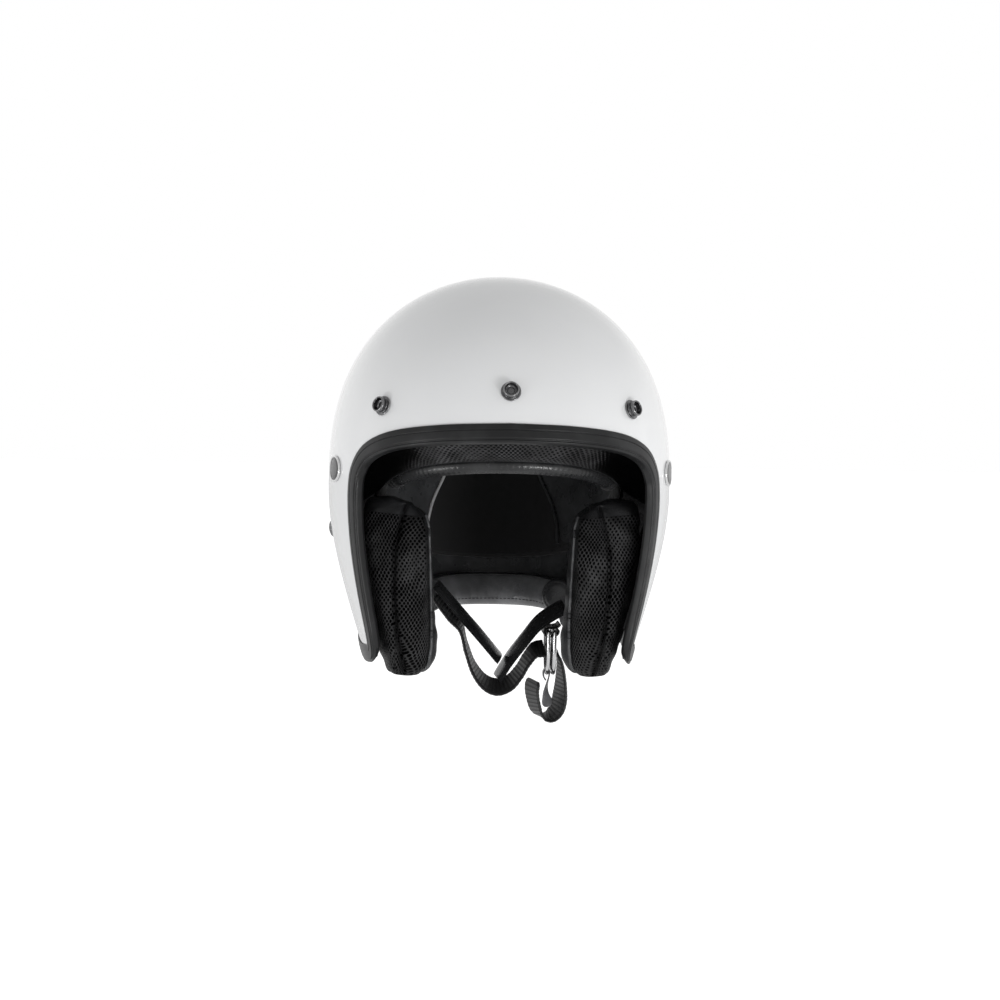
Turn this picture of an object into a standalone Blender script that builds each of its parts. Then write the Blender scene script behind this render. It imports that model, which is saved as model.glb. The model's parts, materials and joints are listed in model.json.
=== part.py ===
"""Open-face motorcycle helmet: shell, energy liner, comfort lining, edge trim, visor studs and chin strap.

Metres, +Z up. The face opening looks along -Y and +X is the wearer's left. The origin is the
centre of the headform, level with the widest section of the shell.

The shell is one smooth egg-like skin. Every lining piece is a layer of the same skin: a point on it is
found from its azimuth (0 at the brow, 90 at the ear, 180 at the nape), its height and its depth
inside the outer face.
"""

import math

import bmesh
import bpy
from mathutils import Matrix, Quaternion, Vector

# Outer skin of the shell
HALF_WIDTH = 0.122
FRONT_LENGTH = 0.137
REAR_LENGTH = 0.143
CROWN_HEIGHT = 0.150
CROWN_POWER = 2.5
PLAN_POWER = 2.1
TAPER_BEND = 0.062
SIDE_TAPER = 0.37
REAR_TAPER = 0.42

# Layers, as depths inside the outer face
SHELL_THICKNESS = 0.0035
GAP = 0.0003
EPS_OUTER, EPS_INNER = 0.0066, 0.0320
LINER_OUTER, LINER_INNER = 0.0345, 0.0410

# Edges of the layers as (azimuth in degrees, height), from the brow to the nape
SHELL_RIM = [
    (0, 0.037), (18, 0.0355), (34, 0.0312), (44, 0.0240), (49, 0.0145), (51, 0.002),
    (51.4, -0.030), (51.6, -0.070), (51.8, -0.098), (54, -0.1125), (61, -0.1175),
    (84, -0.1185), (118, -0.1080), (148, -0.0942), (180, -0.0930),
]
EPS_RIM = [
    (0, 0.048), (34, 0.042), (48, 0.034), (60, 0.022), (74, -0.002), (90, -0.014),
    (102, -0.018), (110, -0.040), (118, -0.075), (128, -0.090), (150, -0.084), (180, -0.081),
]
LINER_RIM = [
    (0, 0.0272), (35, 0.0230), (62, 0.0135), (76, 0.002), (92, -0.010), (112, -0.028),
    (132, -0.045), (154, -0.055), (180, -0.058),
]
DOME_POLE = Vector((0, 0.6, 0.8))
RIM_STATIONS = 80

# Edge trim: a rubber channel over the rim of the shell
TRIM_OUTER_LIP = 0.0100
TRIM_INNER_LIP = 0.0080
TRIM_NOSE = 0.0024
TRIM_INNER_GAP = 0.0010

# Visor studs and strap rivets
STUD_AZIMUTHS = {"center": 0, "left": 41, "right": -41}
STUD_HEIGHTS = {"center": 0.0675, "left": 0.0570, "right": 0.0570}
STUD_FLOOR = 0.0020
RIVET_AZIMUTH, RIVET_HEIGHT = 92, -0.032
BADGE_AZIMUTH, BADGE_HEIGHT = 68, 0.013
BADGE_LENGTH, BADGE_TALL, BADGE_THICK = 0.026, 0.018, 0.0016

# Brow pad, brow roll and neck roll
BROW_PAD_STATIONS, BROW_PAD_LOW = 120, -0.007
BROW_PAD_INNER_DEPTH, BROW_PAD_END = 0.0300, 58
BROW_ROLL_DEPTH, BROW_ROLL_RADIUS = 0.0385, 0.0058
BROW_ROLL_END = 62
BROW_ROLL_HEIGHT, BROW_ROLL_DROP = 0.0190, 0.0148
NECK_ROLL_END = 52

# Cheek pads
CHEEK_WALL, CHEEK_DEPTH = 0.0970, 0.0114
CHEEK_SEAM_X, CHEEK_SEAM_DEEP = 0.0757, 0.004
CHEEK_BULGE, CHEEK_BULGE_Y, CHEEK_BULGE_HEIGHT = 0.0040, -0.038, -0.108

# Chin strap
WEB_WIDTH, WEB_THICKNESS = 0.022, 0.0018
SLEEVE_WIDTH, SLEEVE_THICKNESS = 0.026, 0.0046
STRAP_Y = 0.003
SWING_AXIS_Z = -0.074
WIRE = 0.0014
RING_HALF_WIDTH, RING_DROP = 0.0150, 0.0310
RING_BAR_Z = -0.104
RING_X = {"d_ring_inner": 0.0372, "d_ring_outer": 0.0416}
TAIL_YAW = 22
TAIL_HINGE = Vector((0.0366, STRAP_Y, -0.1172))

LOOKS = {
    "white_gloss": ((0.86, 0.87, 0.88), 0.12, 0.0),
    "rubber": ((0.035, 0.036, 0.038), 0.45, 0.0),
    "foam": ((0.03, 0.03, 0.032), 0.9, 0.0),
    "mesh_fabric": ((0.018, 0.018, 0.02), 0.85, 0.0),
    "vinyl": ((0.025, 0.026, 0.028), 0.4, 0.0),
    "webbing": ((0.015, 0.015, 0.016), 0.6, 0.0),
    "dark_steel": ((0.16, 0.16, 0.17), 0.3, 1.0),
    "bright_steel": ((0.6, 0.6, 0.6), 0.2, 1.0),
    "plastic": ((0.05, 0.05, 0.05), 0.5, 0.0),
}


def clear_scene():
    for obj in list(bpy.data.objects):
        bpy.data.objects.remove(obj, do_unlink=True)


def make_materials():
    made = {}
    for name, (colour, roughness, metallic) in LOOKS.items():
        material = bpy.data.materials.new(name)
        material.use_nodes = True
        shader = material.node_tree.nodes["Principled BSDF"]
        shader.inputs["Base Color"].default_value = (*colour, 1)
        shader.inputs["Roughness"].default_value = roughness
        shader.inputs["Metallic"].default_value = metallic
        made[name] = material
    return made


# ---------------------------------------------------------------- skin


def section(height, depth):
    """Half width, front length and rear length of the skin at this height and depth."""
    if height >= 0:
        rise = min(height / (CROWN_HEIGHT - depth), 1)
        shrink = math.sqrt(1 - rise**CROWN_POWER)
        half, front, rear = HALF_WIDTH - depth, FRONT_LENGTH - depth, REAR_LENGTH - depth
        return half * shrink, front * shrink, rear * shrink
    drop = math.hypot(height, TAPER_BEND) - TAPER_BEND
    half, rear = HALF_WIDTH - depth - SIDE_TAPER * drop, REAR_LENGTH - depth - REAR_TAPER * drop
    return half, FRONT_LENGTH - depth, rear


def at(azimuth, height, depth=0.0):
    """The point of the skin at an azimuth in degrees and a height."""
    half, front, rear = section(height, depth)
    side, ahead = math.sin(math.radians(azimuth)), math.cos(math.radians(azimuth))
    length = front if ahead > 0 else rear
    radius = (abs(side / half) ** PLAN_POWER + abs(ahead / length) ** PLAN_POWER) ** (-1 / PLAN_POWER)
    return Vector((radius * side, -radius * ahead, height))


def on_skin(point, depth=0.0):
    """Where the ray from the origin through point meets the skin at this depth."""
    ray = point.normalized()
    low, high = 0.02, 0.25
    for _ in range(30):
        middle = (low + high) / 2
        half, front, rear = section(ray.z * middle, depth)
        length = front if ray.y < 0 else rear
        inside = half > 0 and (
            abs(ray.x * middle / half) ** PLAN_POWER + abs(ray.y * middle / length) ** PLAN_POWER < 1
        )
        low, high = (middle, high) if inside else (low, middle)
    return ray * low


def skin_normal(point):
    """Outward normal of the outer face nearest to point."""
    step = 0.002
    across = Vector((0, 0, 1)).cross(point).normalized() * step
    up = point.cross(across).normalized() * step
    along_a = on_skin(point + across) - on_skin(point - across)
    along_b = on_skin(point + up) - on_skin(point - up)
    normal = along_a.cross(along_b).normalized()
    return normal if normal.dot(point) > 0 else -normal


def spline(points, count, closed=False):
    """count points evenly spaced along a smooth curve through the given points."""
    points = [Vector(p) for p in points]
    last = len(points) if closed else len(points) - 1
    fine = []
    for i in range(last):
        if closed:
            a, b, c, d = (points[(i + k) % len(points)] for k in (-1, 0, 1, 2))
        else:
            a, b, c, d = (points[min(max(i + k, 0), len(points) - 1)] for k in (-1, 0, 1, 2))
        for step in range(16):
            t = step / 16
            bend = (2 * a - 5 * b + 4 * c - d) * t**2 + (3 * b - a - 3 * c + d) * t**3
            fine.append(0.5 * (2 * b + (c - a) * t + bend))
    fine.append(points[0] if closed else points[-1])
    return evenly(fine, count, closed)


def evenly(points, count, closed=False):
    """count points spaced evenly along a polyline; a closed one doesn't repeat its first point."""
    lengths = [0.0]
    for a, b in zip(points, points[1:]):
        lengths.append(lengths[-1] + (b - a).length)
    steps = count if closed else count - 1
    spaced, i = [], 0
    for n in range(count):
        target = lengths[-1] * n / steps
        while i < len(points) - 2 and lengths[i + 1] < target:
            i += 1
        span = lengths[i + 1] - lengths[i]
        spaced.append(points[i].lerp(points[i + 1], min((target - lengths[i]) / span, 1) if span else 0))
    return spaced


def rim_loop(rim, count, depth=0.0):
    """count points evenly spaced round the closed edge that a list of (azimuth, height) describes."""
    right_half = [at(p.x * 180, p.y * 0.1, depth) for p in spline([(a / 180, h / 0.1) for a, h in rim], 400)]
    left_half = [Vector((-p.x, p.y, p.z)) for p in reversed(right_half[1:-1])]
    return evenly(right_half + left_half + [right_half[0]], count, closed=True)


# ---------------------------------------------------------------- bodies


def new_object(name, bm, material, parent=None):
    bmesh.ops.recalc_face_normals(bm, faces=bm.faces[:])
    if bm.calc_volume(signed=True) < 0:
        bmesh.ops.reverse_faces(bm, faces=bm.faces[:])
    mesh = bpy.data.meshes.new(name)
    bm.to_mesh(mesh)
    bm.free()
    mesh.shade_smooth()
    mesh.set_sharp_from_angle(angle=math.radians(35))
    mesh.materials.append(material)
    obj = bpy.data.objects.new(name, mesh)
    bpy.context.scene.collection.objects.link(obj)
    if parent:
        obj.parent = parent
        obj.matrix_parent_inverse = parent.matrix_world.inverted()
    return obj


def joint_empty(name, place):
    empty = bpy.data.objects.new(name, None)
    empty.location = place
    empty.empty_display_size = 0.01
    bpy.context.scene.collection.objects.link(empty)
    bpy.context.view_layer.update()
    return empty


def loft(name, loops, material, closed=False, parent=None):
    """Closed body through a list of vertex loops, capped at both ends unless the path is closed."""
    bm = bmesh.new()
    rings = [[bm.verts.new(p) for p in loop] for loop in loops]
    pairs = list(zip(rings, rings[1:] + rings[:1])) if closed else list(zip(rings, rings[1:]))
    for near, far in pairs:
        for i in range(len(near)):
            j = (i + 1) % len(near)
            bm.faces.new((near[i], near[j], far[j], far[i]))
    if not closed:
        bm.faces.new(rings[0])
        bm.faces.new(rings[-1])
    return new_object(name, bm, material, parent)


def dome(name, rim, outer, inner, around, rings, material):
    """Layer of the skin between two depths, from the pole out to its rim."""
    bm = bmesh.new()
    pole = DOME_POLE.normalized()
    edge = [p.normalized() for p in rim_loop(rim, around, outer)]
    faces = []
    for depth in (outer, inner):
        tip = bm.verts.new(on_skin(pole, depth))
        grid = []
        for ring in range(1, rings + 1):
            grid.append([bm.verts.new(on_skin(pole.slerp(ray, ring / rings), depth)) for ray in edge])
        for i in range(around):
            bm.faces.new((tip, grid[0][i], grid[0][i - 1]))
        for near, far in zip(grid, grid[1:]):
            for i in range(around):
                bm.faces.new((near[i - 1], near[i], far[i], far[i - 1]))
        faces.append(grid[-1])
    for i in range(around):
        bm.faces.new((faces[0][i - 1], faces[0][i], faces[1][i], faces[1][i - 1]))
    return new_object(name, bm, material)


def turned(name, profile, steps, place, material, parent=None):
    """Body of revolution of a (radius, height) profile, its height along the placing matrix's Z."""
    bm = bmesh.new()
    verts = [bm.verts.new((radius, 0, height)) for radius, height in profile]
    edges = [bm.edges.new(pair) for pair in zip(verts, verts[1:])]
    if profile[0][0] > 0:
        edges.append(bm.edges.new((verts[-1], verts[0])))
    bmesh.ops.spin(
        bm, geom=verts + edges, cent=(0, 0, 0), axis=(0, 0, 1), angle=math.tau, steps=steps, use_merge=True
    )
    bmesh.ops.remove_doubles(bm, verts=bm.verts[:], dist=1e-6)
    bmesh.ops.transform(bm, matrix=place, verts=bm.verts[:])
    return new_object(name, bm, material, parent)


def placed_on_skin(azimuth, height):
    """Matrix whose Z is the outward normal of the shell there, with its origin on the outer face."""
    point = at(azimuth, height)
    turn = skin_normal(point).to_track_quat("Z", "Y").to_matrix().to_4x4()
    return Matrix.Translation(point) @ turn


def cut_round_hole(obj, place, radius, steps=16):
    """Bores a hole along the placing matrix's Z through everything near its origin."""
    bm = bmesh.new()
    bmesh.ops.create_cone(
        bm, cap_ends=True, segments=steps, radius1=radius, radius2=radius, depth=0.03, matrix=place
    )
    cutter = new_object(f"cutter_{obj.name}_{len(obj.modifiers)}", bm, obj.data.materials[0])
    cutter.hide_render = True
    cutter.display_type = "WIRE"
    hole = obj.modifiers.new("hole", "BOOLEAN")
    hole.operation = "DIFFERENCE"
    hole.object = cutter


def ribbon(
    name, path, width, thickness, count, material, tilt=0.0, rounded=False, parent=None, twist=0.0, yaw=0.0
):
    """Flat strap along a path of (x, z) points: its front edge tilts down, its far end twists or turns."""
    points = spline([(x, STRAP_Y, z) for x, z in path], count)
    lean = Vector((0, -math.cos(math.radians(tilt)), -math.sin(math.radians(tilt))))
    if rounded:
        outline = [(-0.5, 0), (-0.42, 0.36), (-0.2, 0.5), (0.2, 0.5), (0.42, 0.36)]
        outline += [(-u, -v) for u, v in outline]
    else:
        outline = [(-0.5, -0.5), (-0.5, 0.5), (0.5, 0.5), (0.5, -0.5)]
    loops = []
    for i, point in enumerate(points):
        tangent = (points[min(i + 1, count - 1)] - points[max(i - 1, 0)]).normalized()
        turned_by = yaw * min(max((i / (count - 1) - 0.10) / 0.35, 0), 1)
        front = Quaternion((0, 0, 1), math.radians(turned_by)) @ lean
        across = (front - tangent * front.dot(tangent)).normalized()
        across.rotate(Quaternion(tangent, math.radians(twist) * (i / (count - 1)) ** 3))
        normal = tangent.cross(across)
        loops.append([point + across * width * u + normal * thickness * v for u, v in outline])
    return loft(name, loops, material, parent=parent)


def mirrored(name, source, material):
    """Copy of an object on the other side of the middle plane, as its own mesh."""
    bm = bmesh.new()
    bm.from_mesh(source.data)
    bmesh.ops.transform(bm, matrix=Matrix.Diagonal((-1, 1, 1, 1)), verts=bm.verts[:])
    return new_object(name, bm, material)


# ---------------------------------------------------------------- shell and trim


def behind_rim(rim, i):
    """Direction along the skin that leads from station i of the rim away from the opening."""
    tangent = (rim[(i + 1) % len(rim)] - rim[i - 1]).normalized()
    behind = skin_normal(rim[i]).cross(tangent).normalized()
    return behind if (DOME_POLE - rim[i]).dot(behind) > 0 else -behind


def build_shell(looks):
    shell = dome("outer_shell", SHELL_RIM, 0, SHELL_THICKNESS, RIM_STATIONS, 9, looks["white_gloss"])
    for name in STUD_AZIMUTHS:
        cut_round_hole(shell, placed_on_skin(STUD_AZIMUTHS[name], STUD_HEIGHTS[name]), 0.0024)
    for side in (-1, 1):
        cut_round_hole(shell, placed_on_skin(side * RIVET_AZIMUTH, RIVET_HEIGHT), 0.0028)


def build_trim(looks):
    """Channel section as (distance behind the rim, depth); the slot holds the edge of the shell."""
    outside, inside = -GAP, SHELL_THICKNESS + TRIM_INNER_GAP
    channel = [
        (TRIM_OUTER_LIP, outside), (TRIM_OUTER_LIP, outside - 0.0008), (0.0040, outside - 0.0017),
        (-0.0010, outside - 0.0016), (-TRIM_NOSE, 0.0002), (-TRIM_NOSE, 0.0036), (-0.0010, inside + 0.0013),
        (TRIM_INNER_LIP, inside + 0.0010), (TRIM_INNER_LIP, inside), (-GAP, inside), (-GAP, outside),
    ]
    rim = rim_loop(SHELL_RIM, RIM_STATIONS)
    loops = []
    for i, point in enumerate(rim):
        behind = behind_rim(rim, i)
        loops.append([on_skin(point + behind * distance, depth) for distance, depth in channel])
    loft("edge_trim", loops, looks["rubber"], closed=True)


# ---------------------------------------------------------------- linings


def roll_point(azimuth):
    height = BROW_ROLL_HEIGHT - BROW_ROLL_DROP * (azimuth / BROW_ROLL_END) ** 2
    return at(azimuth, height, BROW_ROLL_DEPTH)


def build_brow_pad(looks):
    """Wedge of foam and mesh from the edge trim to the brow roll, down to the tops of the cheek pads."""
    rim = rim_loop(SHELL_RIM, BROW_PAD_STATIONS)
    last = next(i for i, point in enumerate(rim) if point.z < BROW_PAD_LOW)
    loops = []
    for i in range(-last, last + 1):
        share = abs(i) / last
        behind = behind_rim(rim, i) * (1 - 0.4 * share**4)
        outer = on_skin(rim[i] + behind * 0.0005, EPS_OUTER)
        azimuth = BROW_PAD_END * i / last
        inner = at(azimuth, roll_point(azimuth).z + 0.003 - 0.007 * share**4, BROW_PAD_INNER_DEPTH)
        middle = outer.lerp(inner, 0.55)
        inward = (inner - outer).normalized()
        loops.append([
            outer, middle - behind * 0.0015, inner, inner + behind * 0.0045 + inward * 0.0015,
            inner + behind * 0.0085, middle + behind * 0.0095, outer + behind * 0.0060,
        ])
    loft("brow_pad", loops, looks["mesh_fabric"])


def build_brow_roll(looks):
    """Padded vinyl tube that follows the forehead, with rounded ends."""
    loops = []
    for step in range(27):
        azimuth = BROW_ROLL_END * (step - 13) / 13
        centre = roll_point(azimuth)
        tangent = (roll_point(azimuth + 1) - roll_point(azimuth - 1)).normalized()
        side = Vector((0, 0, 1)).cross(tangent).normalized()
        up = tangent.cross(side)
        radius = BROW_ROLL_RADIUS * min(1, 0.55 + 0.45 * (13 - abs(step - 13)))
        loops.append([
            centre + side * radius * math.cos(turn) + up * radius * math.sin(turn)
            for turn in (math.tau * k / 10 for k in range(10))
        ])
    loft("brow_roll", loops, looks["vinyl"])


def build_neck_roll(looks):
    """Vinyl cushion that wraps the lower back edge of the energy liner."""
    outline = [
        (0.0075, -0.0905), (0.0200, -0.0945), (0.0360, -0.0945), (0.0440, -0.0890), (0.0450, -0.0800),
        (0.0420, -0.0720), (0.0370, -0.0705), (0.0345, -0.0740), (0.0345, -0.0850), (0.0075, -0.0850),
    ]
    loops = []
    for step in range(19):
        azimuth = 180 - NECK_ROLL_END + 2 * NECK_ROLL_END * step / 18
        away = abs(azimuth - 180)
        lower = -0.0125 * (away / NECK_ROLL_END) ** 4
        loops.append([at(azimuth, height + lower, depth) for depth, height in outline])
    loft("neck_roll", loops, looks["vinyl"])


def cheek_wall(y, height, clearance=0.0):
    """Outer face of the cheek pad: flat where there is room, and inside the skin where there isn't."""
    half, front, rear = section(height, CHEEK_DEPTH)
    length = front if y < 0 else rear
    across = half * (1 - abs(y / length) ** PLAN_POWER) ** (1 / PLAN_POWER)
    return min(CHEEK_WALL, across) + clearance


def cheek_pad_loop(inner_x, outer_x, front_y, rear_y, height):
    """Horizontal section of a cheek pad: a rounded box with the seam between its lobes let into its front."""
    middle = Vector(((inner_x + outer_x) / 2, (front_y + rear_y) / 2, height))
    bulge = CHEEK_BULGE * math.exp(-(((height - CHEEK_BULGE_HEIGHT) / 0.017) ** 2))
    loop = []
    for k in range(24):
        turn = math.tau * (k + 0.5) / 24
        c, s = math.cos(turn), math.sin(turn)
        x = middle.x + (outer_x - inner_x) / 2 * math.copysign(abs(c) ** 0.55, c)
        y = middle.y + (rear_y - front_y) / 2 * math.copysign(abs(s) ** 0.55, s)
        if s < 0:
            y += CHEEK_SEAM_DEEP * math.exp(-(((x - CHEEK_SEAM_X) / 0.004) ** 2))
        if c < 0:
            x -= bulge * math.exp(-(((y - CHEEK_BULGE_Y) / 0.015) ** 2))
        loop.append(Vector((min(x, cheek_wall(y, height)), y, height)))
    return loop


def walled_loop(front_y, rear_y, height, near, outer_face):
    """Horizontal section of a layer between the cheek pad's wall and another face, over a span of Y."""
    ys = [front_y + (rear_y - front_y) * k / 3 for k in range(4)]
    inner = [Vector((cheek_wall(y, height, near), y, height)) for y in ys]
    return inner + [Vector((outer_face(y, height), y, height)) for y in reversed(ys)]


def build_cheek(looks):
    """Cheek cushion in two lobes, its snap plate and the foam block behind it, on both sides."""
    levels = [
        (-0.1285, 0.060, 0.082, -0.044, -0.028), (-0.1260, 0.051, 0.0885, -0.052, -0.020),
        (-0.1180, 0.0470, 0.0920, -0.057, -0.015), (-0.1050, 0.0460, 0.0950, -0.060, -0.0135),
        (-0.0850, 0.0472, 0.0972, -0.063, -0.0130), (-0.0600, 0.0478, 0.0985, -0.065, -0.0130),
        (-0.0380, 0.0485, 0.0985, -0.066, -0.0140), (-0.0240, 0.0510, 0.0985, -0.065, -0.0160),
        (-0.0150, 0.0580, 0.0980, -0.062, -0.0200), (-0.0085, 0.0690, 0.0960, -0.058, -0.0260),
        (-0.0050, 0.0770, 0.0920, -0.053, -0.0330),
    ]
    pad = loft(
        "cheek_pad_left",
        [cheek_pad_loop(inner, outer, front, rear, height) for height, inner, outer, front, rear in levels],
        looks["mesh_fabric"],
    )
    mirrored("cheek_pad_right", pad, looks["mesh_fabric"])

    def plate_back(y, height):
        return cheek_wall(y, height, 0.0022)

    def block_back(y, height):
        half, front, _ = section(height, EPS_OUTER + 0.0002)
        return half * (1 - abs(y / front) ** PLAN_POWER) ** (1 / PLAN_POWER)

    heights = (-0.096, -0.080, -0.064, -0.048, -0.032)
    plate = loft(
        "cheek_plate_left",
        [walled_loop(-0.050, -0.018, height, 0.0010, plate_back) for height in heights],
        looks["plastic"],
    )
    mirrored("cheek_plate_right", plate, looks["plastic"])
    block = loft(
        "cheek_eps_left",
        [walled_loop(-0.052, -0.016, height, 0.0040, block_back) for height in heights],
        looks["foam"],
    )
    mirrored("cheek_eps_right", block, looks["foam"])


def build_ear_pads(looks):
    """Round vinyl pads low on the side lining, behind the ears."""
    profile = [
        (0, 0.0035), (0.0085, 0.0030), (0.0120, 0.0010), (0.0130, -0.0012), (0.0115, -0.0030), (0, -0.0034),
    ]
    for side, name in ((1, "ear_pad_left"), (-1, "ear_pad_right")):
        facing = Vector((-0.42 * side, -0.9, 0)).to_track_quat("Z", "Y").to_matrix().to_4x4()
        place = Matrix.Translation((0.0475 * side, 0.0360, -0.0825)) @ facing
        turned(name, profile, 24, place, looks["vinyl"])


# ---------------------------------------------------------------- hardware


def build_studs(looks):
    """Visor studs: a hollow post on a flange, riveted through the shell over a backing washer."""
    stud = [
        (0, STUD_FLOOR), (0.0038, STUD_FLOOR), (0.0041, 0.0052), (0.0046, 0.0057), (0.0052, 0.0052),
        (0.0053, 0.0040), (0.0047, 0.0029), (0.0048, 0.0014), (0.0064, 0.0011), (0.0067, 0.0005),
        (0.0062, 0.00015), (0.0020, 0.00015), (0.0020, -0.0054), (0.0031, -0.0055), (0.0028, -0.0061),
        (0, -0.0061),
    ]
    washer = [(0.0024, -0.0046), (0.0058, -0.0046), (0.0060, -0.0049), (0.0058, -0.0052), (0.0024, -0.0052)]
    for name in STUD_AZIMUTHS:
        place = placed_on_skin(STUD_AZIMUTHS[name], STUD_HEIGHTS[name])
        turned(f"visor_stud_{name}", stud, 18, place, looks["dark_steel"])
        turned(f"stud_washer_{name}", washer, 16, place, looks["bright_steel"])


def build_rivets(looks):
    """Strap rivets: a low round head outside, and a steel anchor plate and the strap end inside."""
    rivet = [
        (0, 0.0024), (0.0030, 0.0021), (0.0050, 0.0012), (0.0058, 0.0004), (0.0056, 0.00015),
        (0.0024, 0.00015), (0.0024, -0.0098), (0.0042, -0.0100), (0.0040, -0.0110), (0, -0.0112),
    ]
    plate = [(0.0028, -0.0047), (0.0088, -0.0047), (0.0092, -0.0053), (0.0088, -0.0059), (0.0028, -0.0059)]
    for side, name in ((1, "left"), (-1, "right")):
        place = placed_on_skin(side * RIVET_AZIMUTH, RIVET_HEIGHT)
        turned(f"strap_rivet_{name}", rivet, 20, place, looks["dark_steel"])
        turned(f"anchor_plate_{name}", plate, 20, place, looks["bright_steel"])


def build_badges(looks):
    """Plain oval trim plates on both sides, bent to the shell."""
    for side, name in ((1, "side_badge_left"), (-1, "side_badge_right")):
        centre = at(side * BADGE_AZIMUTH, BADGE_HEIGHT)
        normal = skin_normal(centre)
        along = Vector((0, 0, 1)).cross(normal).normalized()
        up = normal.cross(along)
        outline = [
            along * (BADGE_LENGTH / 2 * math.cos(turn)) + up * (BADGE_TALL / 2 * math.sin(turn))
            for turn in (math.tau * k / 20 for k in range(20))
        ]
        loops = [
            [on_skin(centre + scale * point, depth) for point in outline]
            for scale, depth in (
                (0.05, -GAP), (1, -GAP), (1, -BADGE_THICK * 0.7), (0.86, -BADGE_THICK), (0.05, -BADGE_THICK),
            )
        ]
        loft(name, loops, looks["plastic"])


# ---------------------------------------------------------------- chin strap


def build_upper_straps(looks):
    """Webbing from each rivet to where the strap leaves the lining."""
    for side, name, end in ((1, "left", -0.0872), (-1, "right", -0.0675)):
        start = at(side * RIVET_AZIMUTH, -0.0215, 0.0082)
        under = at(side * RIVET_AZIMUTH, -0.0430, 0.0082)
        path = [
            (start.x, start.z), (side * (abs(start.x) + abs(under.x)) / 2, -0.0320), (under.x, under.z),
            (side * 0.103, -0.0545), (side * 0.083, -0.0640), (side * 0.062, (end - 0.066) / 2 - 0.002),
            (side * 0.0485, end),
        ]
        strap = ribbon(f"upper_strap_{name}", path, WEB_WIDTH, WEB_THICKNESS, 20, looks["webbing"])
        cut_round_hole(strap, placed_on_skin(side * RIVET_AZIMUTH, RIVET_HEIGHT), 0.0028)


def build_chin_strap(looks, swing):
    """Slack webbing and its two padded sleeves, which swing together under the chin."""
    right_sleeve = [(-0.0440, -0.0713), (-0.0290, -0.0885), (-0.0130, -0.1065), (0.0030, -0.1254)]
    left_sleeve = [
        (0.0440, -0.0895), (0.0388, -0.0926), (0.0300, -0.0995), (0.0205, -0.1112), (0.0102, -0.1250),
        (0.0015, -0.1390),
    ]
    webbing = [
        (-0.0440, -0.0795), (-0.0345, -0.0915), (-0.0260, -0.1015), (-0.0215, -0.1170), (-0.0160, -0.1315),
        (-0.0082, -0.1418), (0.0010, -0.1458), (0.0102, -0.1426), (0.0170, -0.1350), (0.0228, -0.1255),
        (0.0284, -0.1188), (0.0354, -0.1172),
    ]
    hanger = [
        (0.0460, -0.0985), (0.0440, -0.1006), (0.0400, -0.1013), (0.0368, -0.1014), (0.0345, -0.1034),
        (0.0350, -0.1062), (0.0375, -0.1072), (0.0412, -0.1072), (0.0441, -0.1058), (0.0449, -0.1030),
    ]
    padding = SLEEVE_WIDTH, SLEEVE_THICKNESS
    ribbon("chin_sleeve_right", right_sleeve, *padding, 12, looks["vinyl"], 20, True, swing)
    ribbon("chin_sleeve_left", left_sleeve, *padding, 14, looks["vinyl"], 20, True, swing)
    ribbon("chin_webbing", webbing, WEB_WIDTH, WEB_THICKNESS, 40, looks["webbing"], 26, False, swing)
    ribbon("ring_hanger", hanger, WEB_WIDTH, 0.0014, 28, looks["webbing"], 0, False, swing)


def build_ring(name, looks, swing):
    """D-ring in the YZ plane: a straight bar on top and a flattened bow of wire below it."""
    x = RING_X[name]
    hinge = joint_empty(f"{name}_hinge", (x, STRAP_Y, RING_BAR_Z))
    path = []
    for k in range(19):
        turn = math.pi * k / 18
        across = math.copysign(abs(math.cos(turn)) ** 0.77, math.cos(turn))
        down = math.sin(turn) ** 0.77
        path.append(Vector((x, STRAP_Y + RING_HALF_WIDTH * across, RING_BAR_Z - RING_DROP * down)))
    path += [Vector((x, STRAP_Y + RING_HALF_WIDTH * u, RING_BAR_Z + 0.0002)) for u in (-0.9, -0.3, 0.3, 0.9)]
    loops = []
    for i, point in enumerate(path):
        tangent = (path[(i + 1) % len(path)] - path[i - 1]).normalized()
        side = Vector((1, 0, 0))
        up = tangent.cross(side)
        loops.append([
            point + side * WIRE * math.cos(turn) + up * WIRE * math.sin(turn)
            for turn in (math.tau * (k + 0.5) / 8 for k in range(8))
        ])
    loft(name, loops, looks["bright_steel"], closed=True, parent=hinge)


def build_tail(looks):
    """Free end of the webbing, hanging in a loop from the rings, with its press stud."""
    hinge = joint_empty("tail_hinge", TAIL_HINGE)
    path = [
        (0.0366, -0.1172), (0.0405, -0.1172), (0.0446, -0.1205), (0.0472, -0.1290), (0.0478, -0.1450),
        (0.0462, -0.1590), (0.0415, -0.1660), (0.0355, -0.1672), (0.0306, -0.1632), (0.0278, -0.1550),
        (0.0268, -0.1470), (0.0280, -0.1405),
    ]
    ribbon("strap_tail", path, WEB_WIDTH, WEB_THICKNESS, 40, looks["webbing"], 6, False, hinge, yaw=TAIL_YAW)
    cap = [
        (0, 0.0018), (0.0040, 0.0016), (0.0055, 0.0008), (0.0056, 0.0002), (0.0050, 0.0002),
        (0.0046, 0.0006), (0.0034, 0.0010), (0, 0.0012),
    ]
    inward = Vector((math.cos(math.radians(TAIL_YAW)), math.sin(math.radians(TAIL_YAW)), 0))
    facing = inward.to_track_quat("Z", "Y").to_matrix().to_4x4()
    place = Matrix.Translation((0.0285, STRAP_Y + 0.0006, -0.1480)) @ facing
    turned("tail_stud", cap, 16, place, looks["dark_steel"], hinge)


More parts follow.
